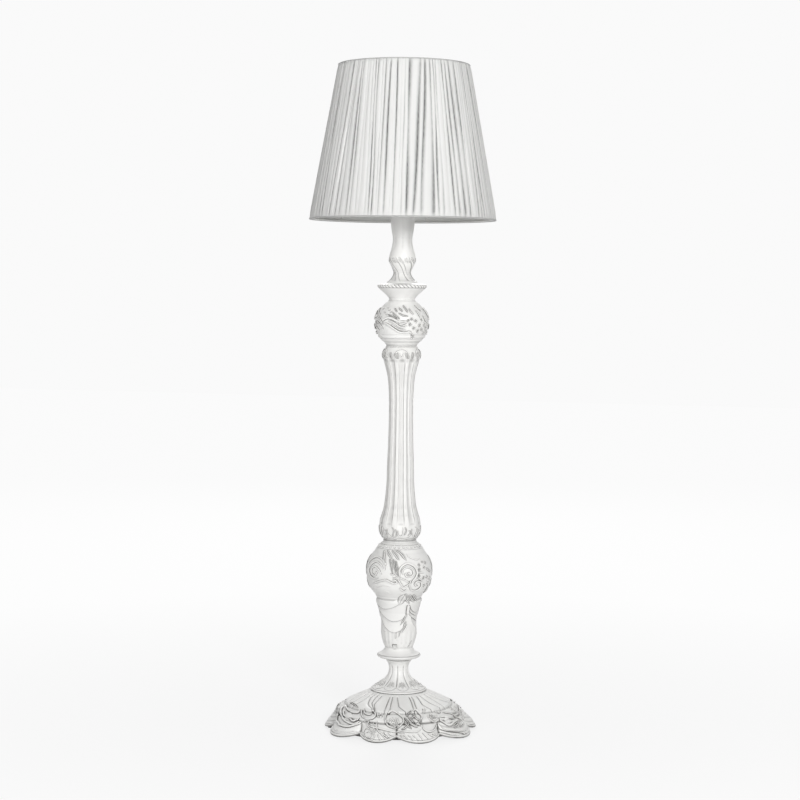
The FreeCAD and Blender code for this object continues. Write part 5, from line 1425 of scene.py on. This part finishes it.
def make_lining():
    """The smooth inner cloth, stretched over the frame, with a little slack between its wires."""
    heights = np.linspace(0.4, SHADE_HEIGHT - 0.4, 24)[:, None]
    turns = np.linspace(0, 2 * math.pi, 192, endpoint=False)[None, :]
    slack = 0.25 * np.sin(6 * turns) * np.sin(math.pi * heights / SHADE_HEIGHT)
    rows = []
    for offset, order in ((1.1, 1), (0.35, -1)):
        r = (cone(heights) + offset + slack)[::order]
        z = (SHADE_FOOT + heights + 0 * turns)[::order]
        rows.append(np.stack([r * np.sin(turns), -r * np.cos(turns), z], -1))
    pool = Pool()
    pool.grid(np.concatenate(rows), 0.1, around=True, closed=True)
    return pool.make("shade_lining_cloth", lining_cloth, "shade",
                     ("shade_lining",))


def make_shade():
    """The frame, the two cloths and the trims."""
    make_frame()
    cover = make_cover()
    low = band("shade_hem", -0.2, 3.4, 6.4)
    high = band("shade_top_edge", SHADE_HEIGHT - 2.6, SHADE_HEIGHT + 0.1, 6.2)
    lining = make_lining()


# ---- stage --------------------------------------------------------------------------------

def make_stage():
    """A pale floor that keeps the lamp's shadow, a white surround and three soft lamps."""
    mesh = bpy.data.meshes.new("floor")
    far = 14
    mesh.from_pydata([(-far, -far, 0), (far, -far, 0), (far, far, 0), (-far, far, 0)], [],
                     [(0, 1, 2, 3)])
    floor = bpy.data.objects.new("floor", mesh)
    bpy.context.scene.collection.objects.link(floor)
    material, nodes, links, bsdf = new_material("floor")
    bsdf.inputs["Base Color"].default_value = (0.86, 0.86, 0.86, 1)
    bsdf.inputs["Roughness"].default_value = 0.9
    bsdf.inputs["Specular IOR Level"].default_value = 0.1
    glow = nodes.new("ShaderNodeEmission")
    glow.inputs["Color"].default_value = (1, 1, 1, 1)
    mixed = nodes.new("ShaderNodeMixShader")
    coordinates = nodes.new("ShaderNodeTexCoord")
    distance = nodes.new("ShaderNodeVectorMath")
    distance.operation = "LENGTH"
    links.new(coordinates.outputs["Object"], distance.inputs[0])
    share = ranged(nodes, links, distance.outputs["Value"], 0.35, 2.2, 0.80, 0.95)
    seen = calc(nodes, links, "MULTIPLY", seen_directly(nodes, links), share)
    links.new(seen, mixed.inputs["Fac"])
    links.new(bsdf.outputs["BSDF"], mixed.inputs[1])
    links.new(glow.outputs["Emission"], mixed.inputs[2])
    links.new(mixed.outputs["Shader"], nodes["Material Output"].inputs["Surface"])
    mesh.materials.append(material)

    world = bpy.data.worlds.new("studio")
    bpy.context.scene.world = world
    world.use_nodes = True
    nodes, links = world.node_tree.nodes, world.node_tree.links
    soft = nodes["Background"]
    soft.inputs["Color"].default_value = (1, 1, 1, 1)
    soft.inputs["Strength"].default_value = 0.24
    white = nodes.new("ShaderNodeBackground")
    white.inputs["Color"].default_value = (0.955, 0.955, 0.955, 1)
    mixed = nodes.new("ShaderNodeMixShader")
    links.new(seen_directly(nodes, links), mixed.inputs["Fac"])
    links.new(soft.outputs["Background"], mixed.inputs[1])
    links.new(white.outputs["Background"], mixed.inputs[2])
    links.new(mixed.outputs["Shader"], nodes["World Output"].inputs["Surface"])

    for name, place, size, power in (("key", (2.5, -3.9, 2.3), 1.2, 132),
                                     ("front", (-0.9, -4.6, 1.5), 1.6, 42),
                                     ("back", (-1.3, 4.5, 3.3), 2.2, 120)):
        data = bpy.data.lights.new(name, "AREA")
        data.size = size
        data.energy = power
        lamp = bpy.data.objects.new(name, data)
        bpy.context.scene.collection.objects.link(lamp)
        lamp.location = place
        way = Vector((0, 0, 0.9)) - Vector(place)
        lamp.rotation_euler = way.to_track_quat("-Z", "Y").to_euler()
    bpy.context.scene.view_settings.view_transform = "Standard"


def seen_directly(nodes, links):
    """1 for a ray that the camera sees directly, in a reflection or through glass."""
    path = nodes.new("ShaderNodeLightPath")
    seen = calc(nodes, links, "MAXIMUM", path.outputs["Is Camera Ray"],
                path.outputs["Is Glossy Ray"])
    return calc(nodes, links, "MAXIMUM", seen, path.outputs["Is Transmission Ray"])


make_camera()
make_stage()
for name, material in NODE_MATERIALS.items():
    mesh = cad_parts[name].data
    mesh.materials.clear()
    mesh.materials.append(material)
base = make_base()
make_garland(base)
make_neck()
make_ring()
make_vase()
make_column()
make_knop()
make_pan()
make_stem()
make_fittings()
make_bulb()
make_grommet()
make_switch_frame()
make_shade()
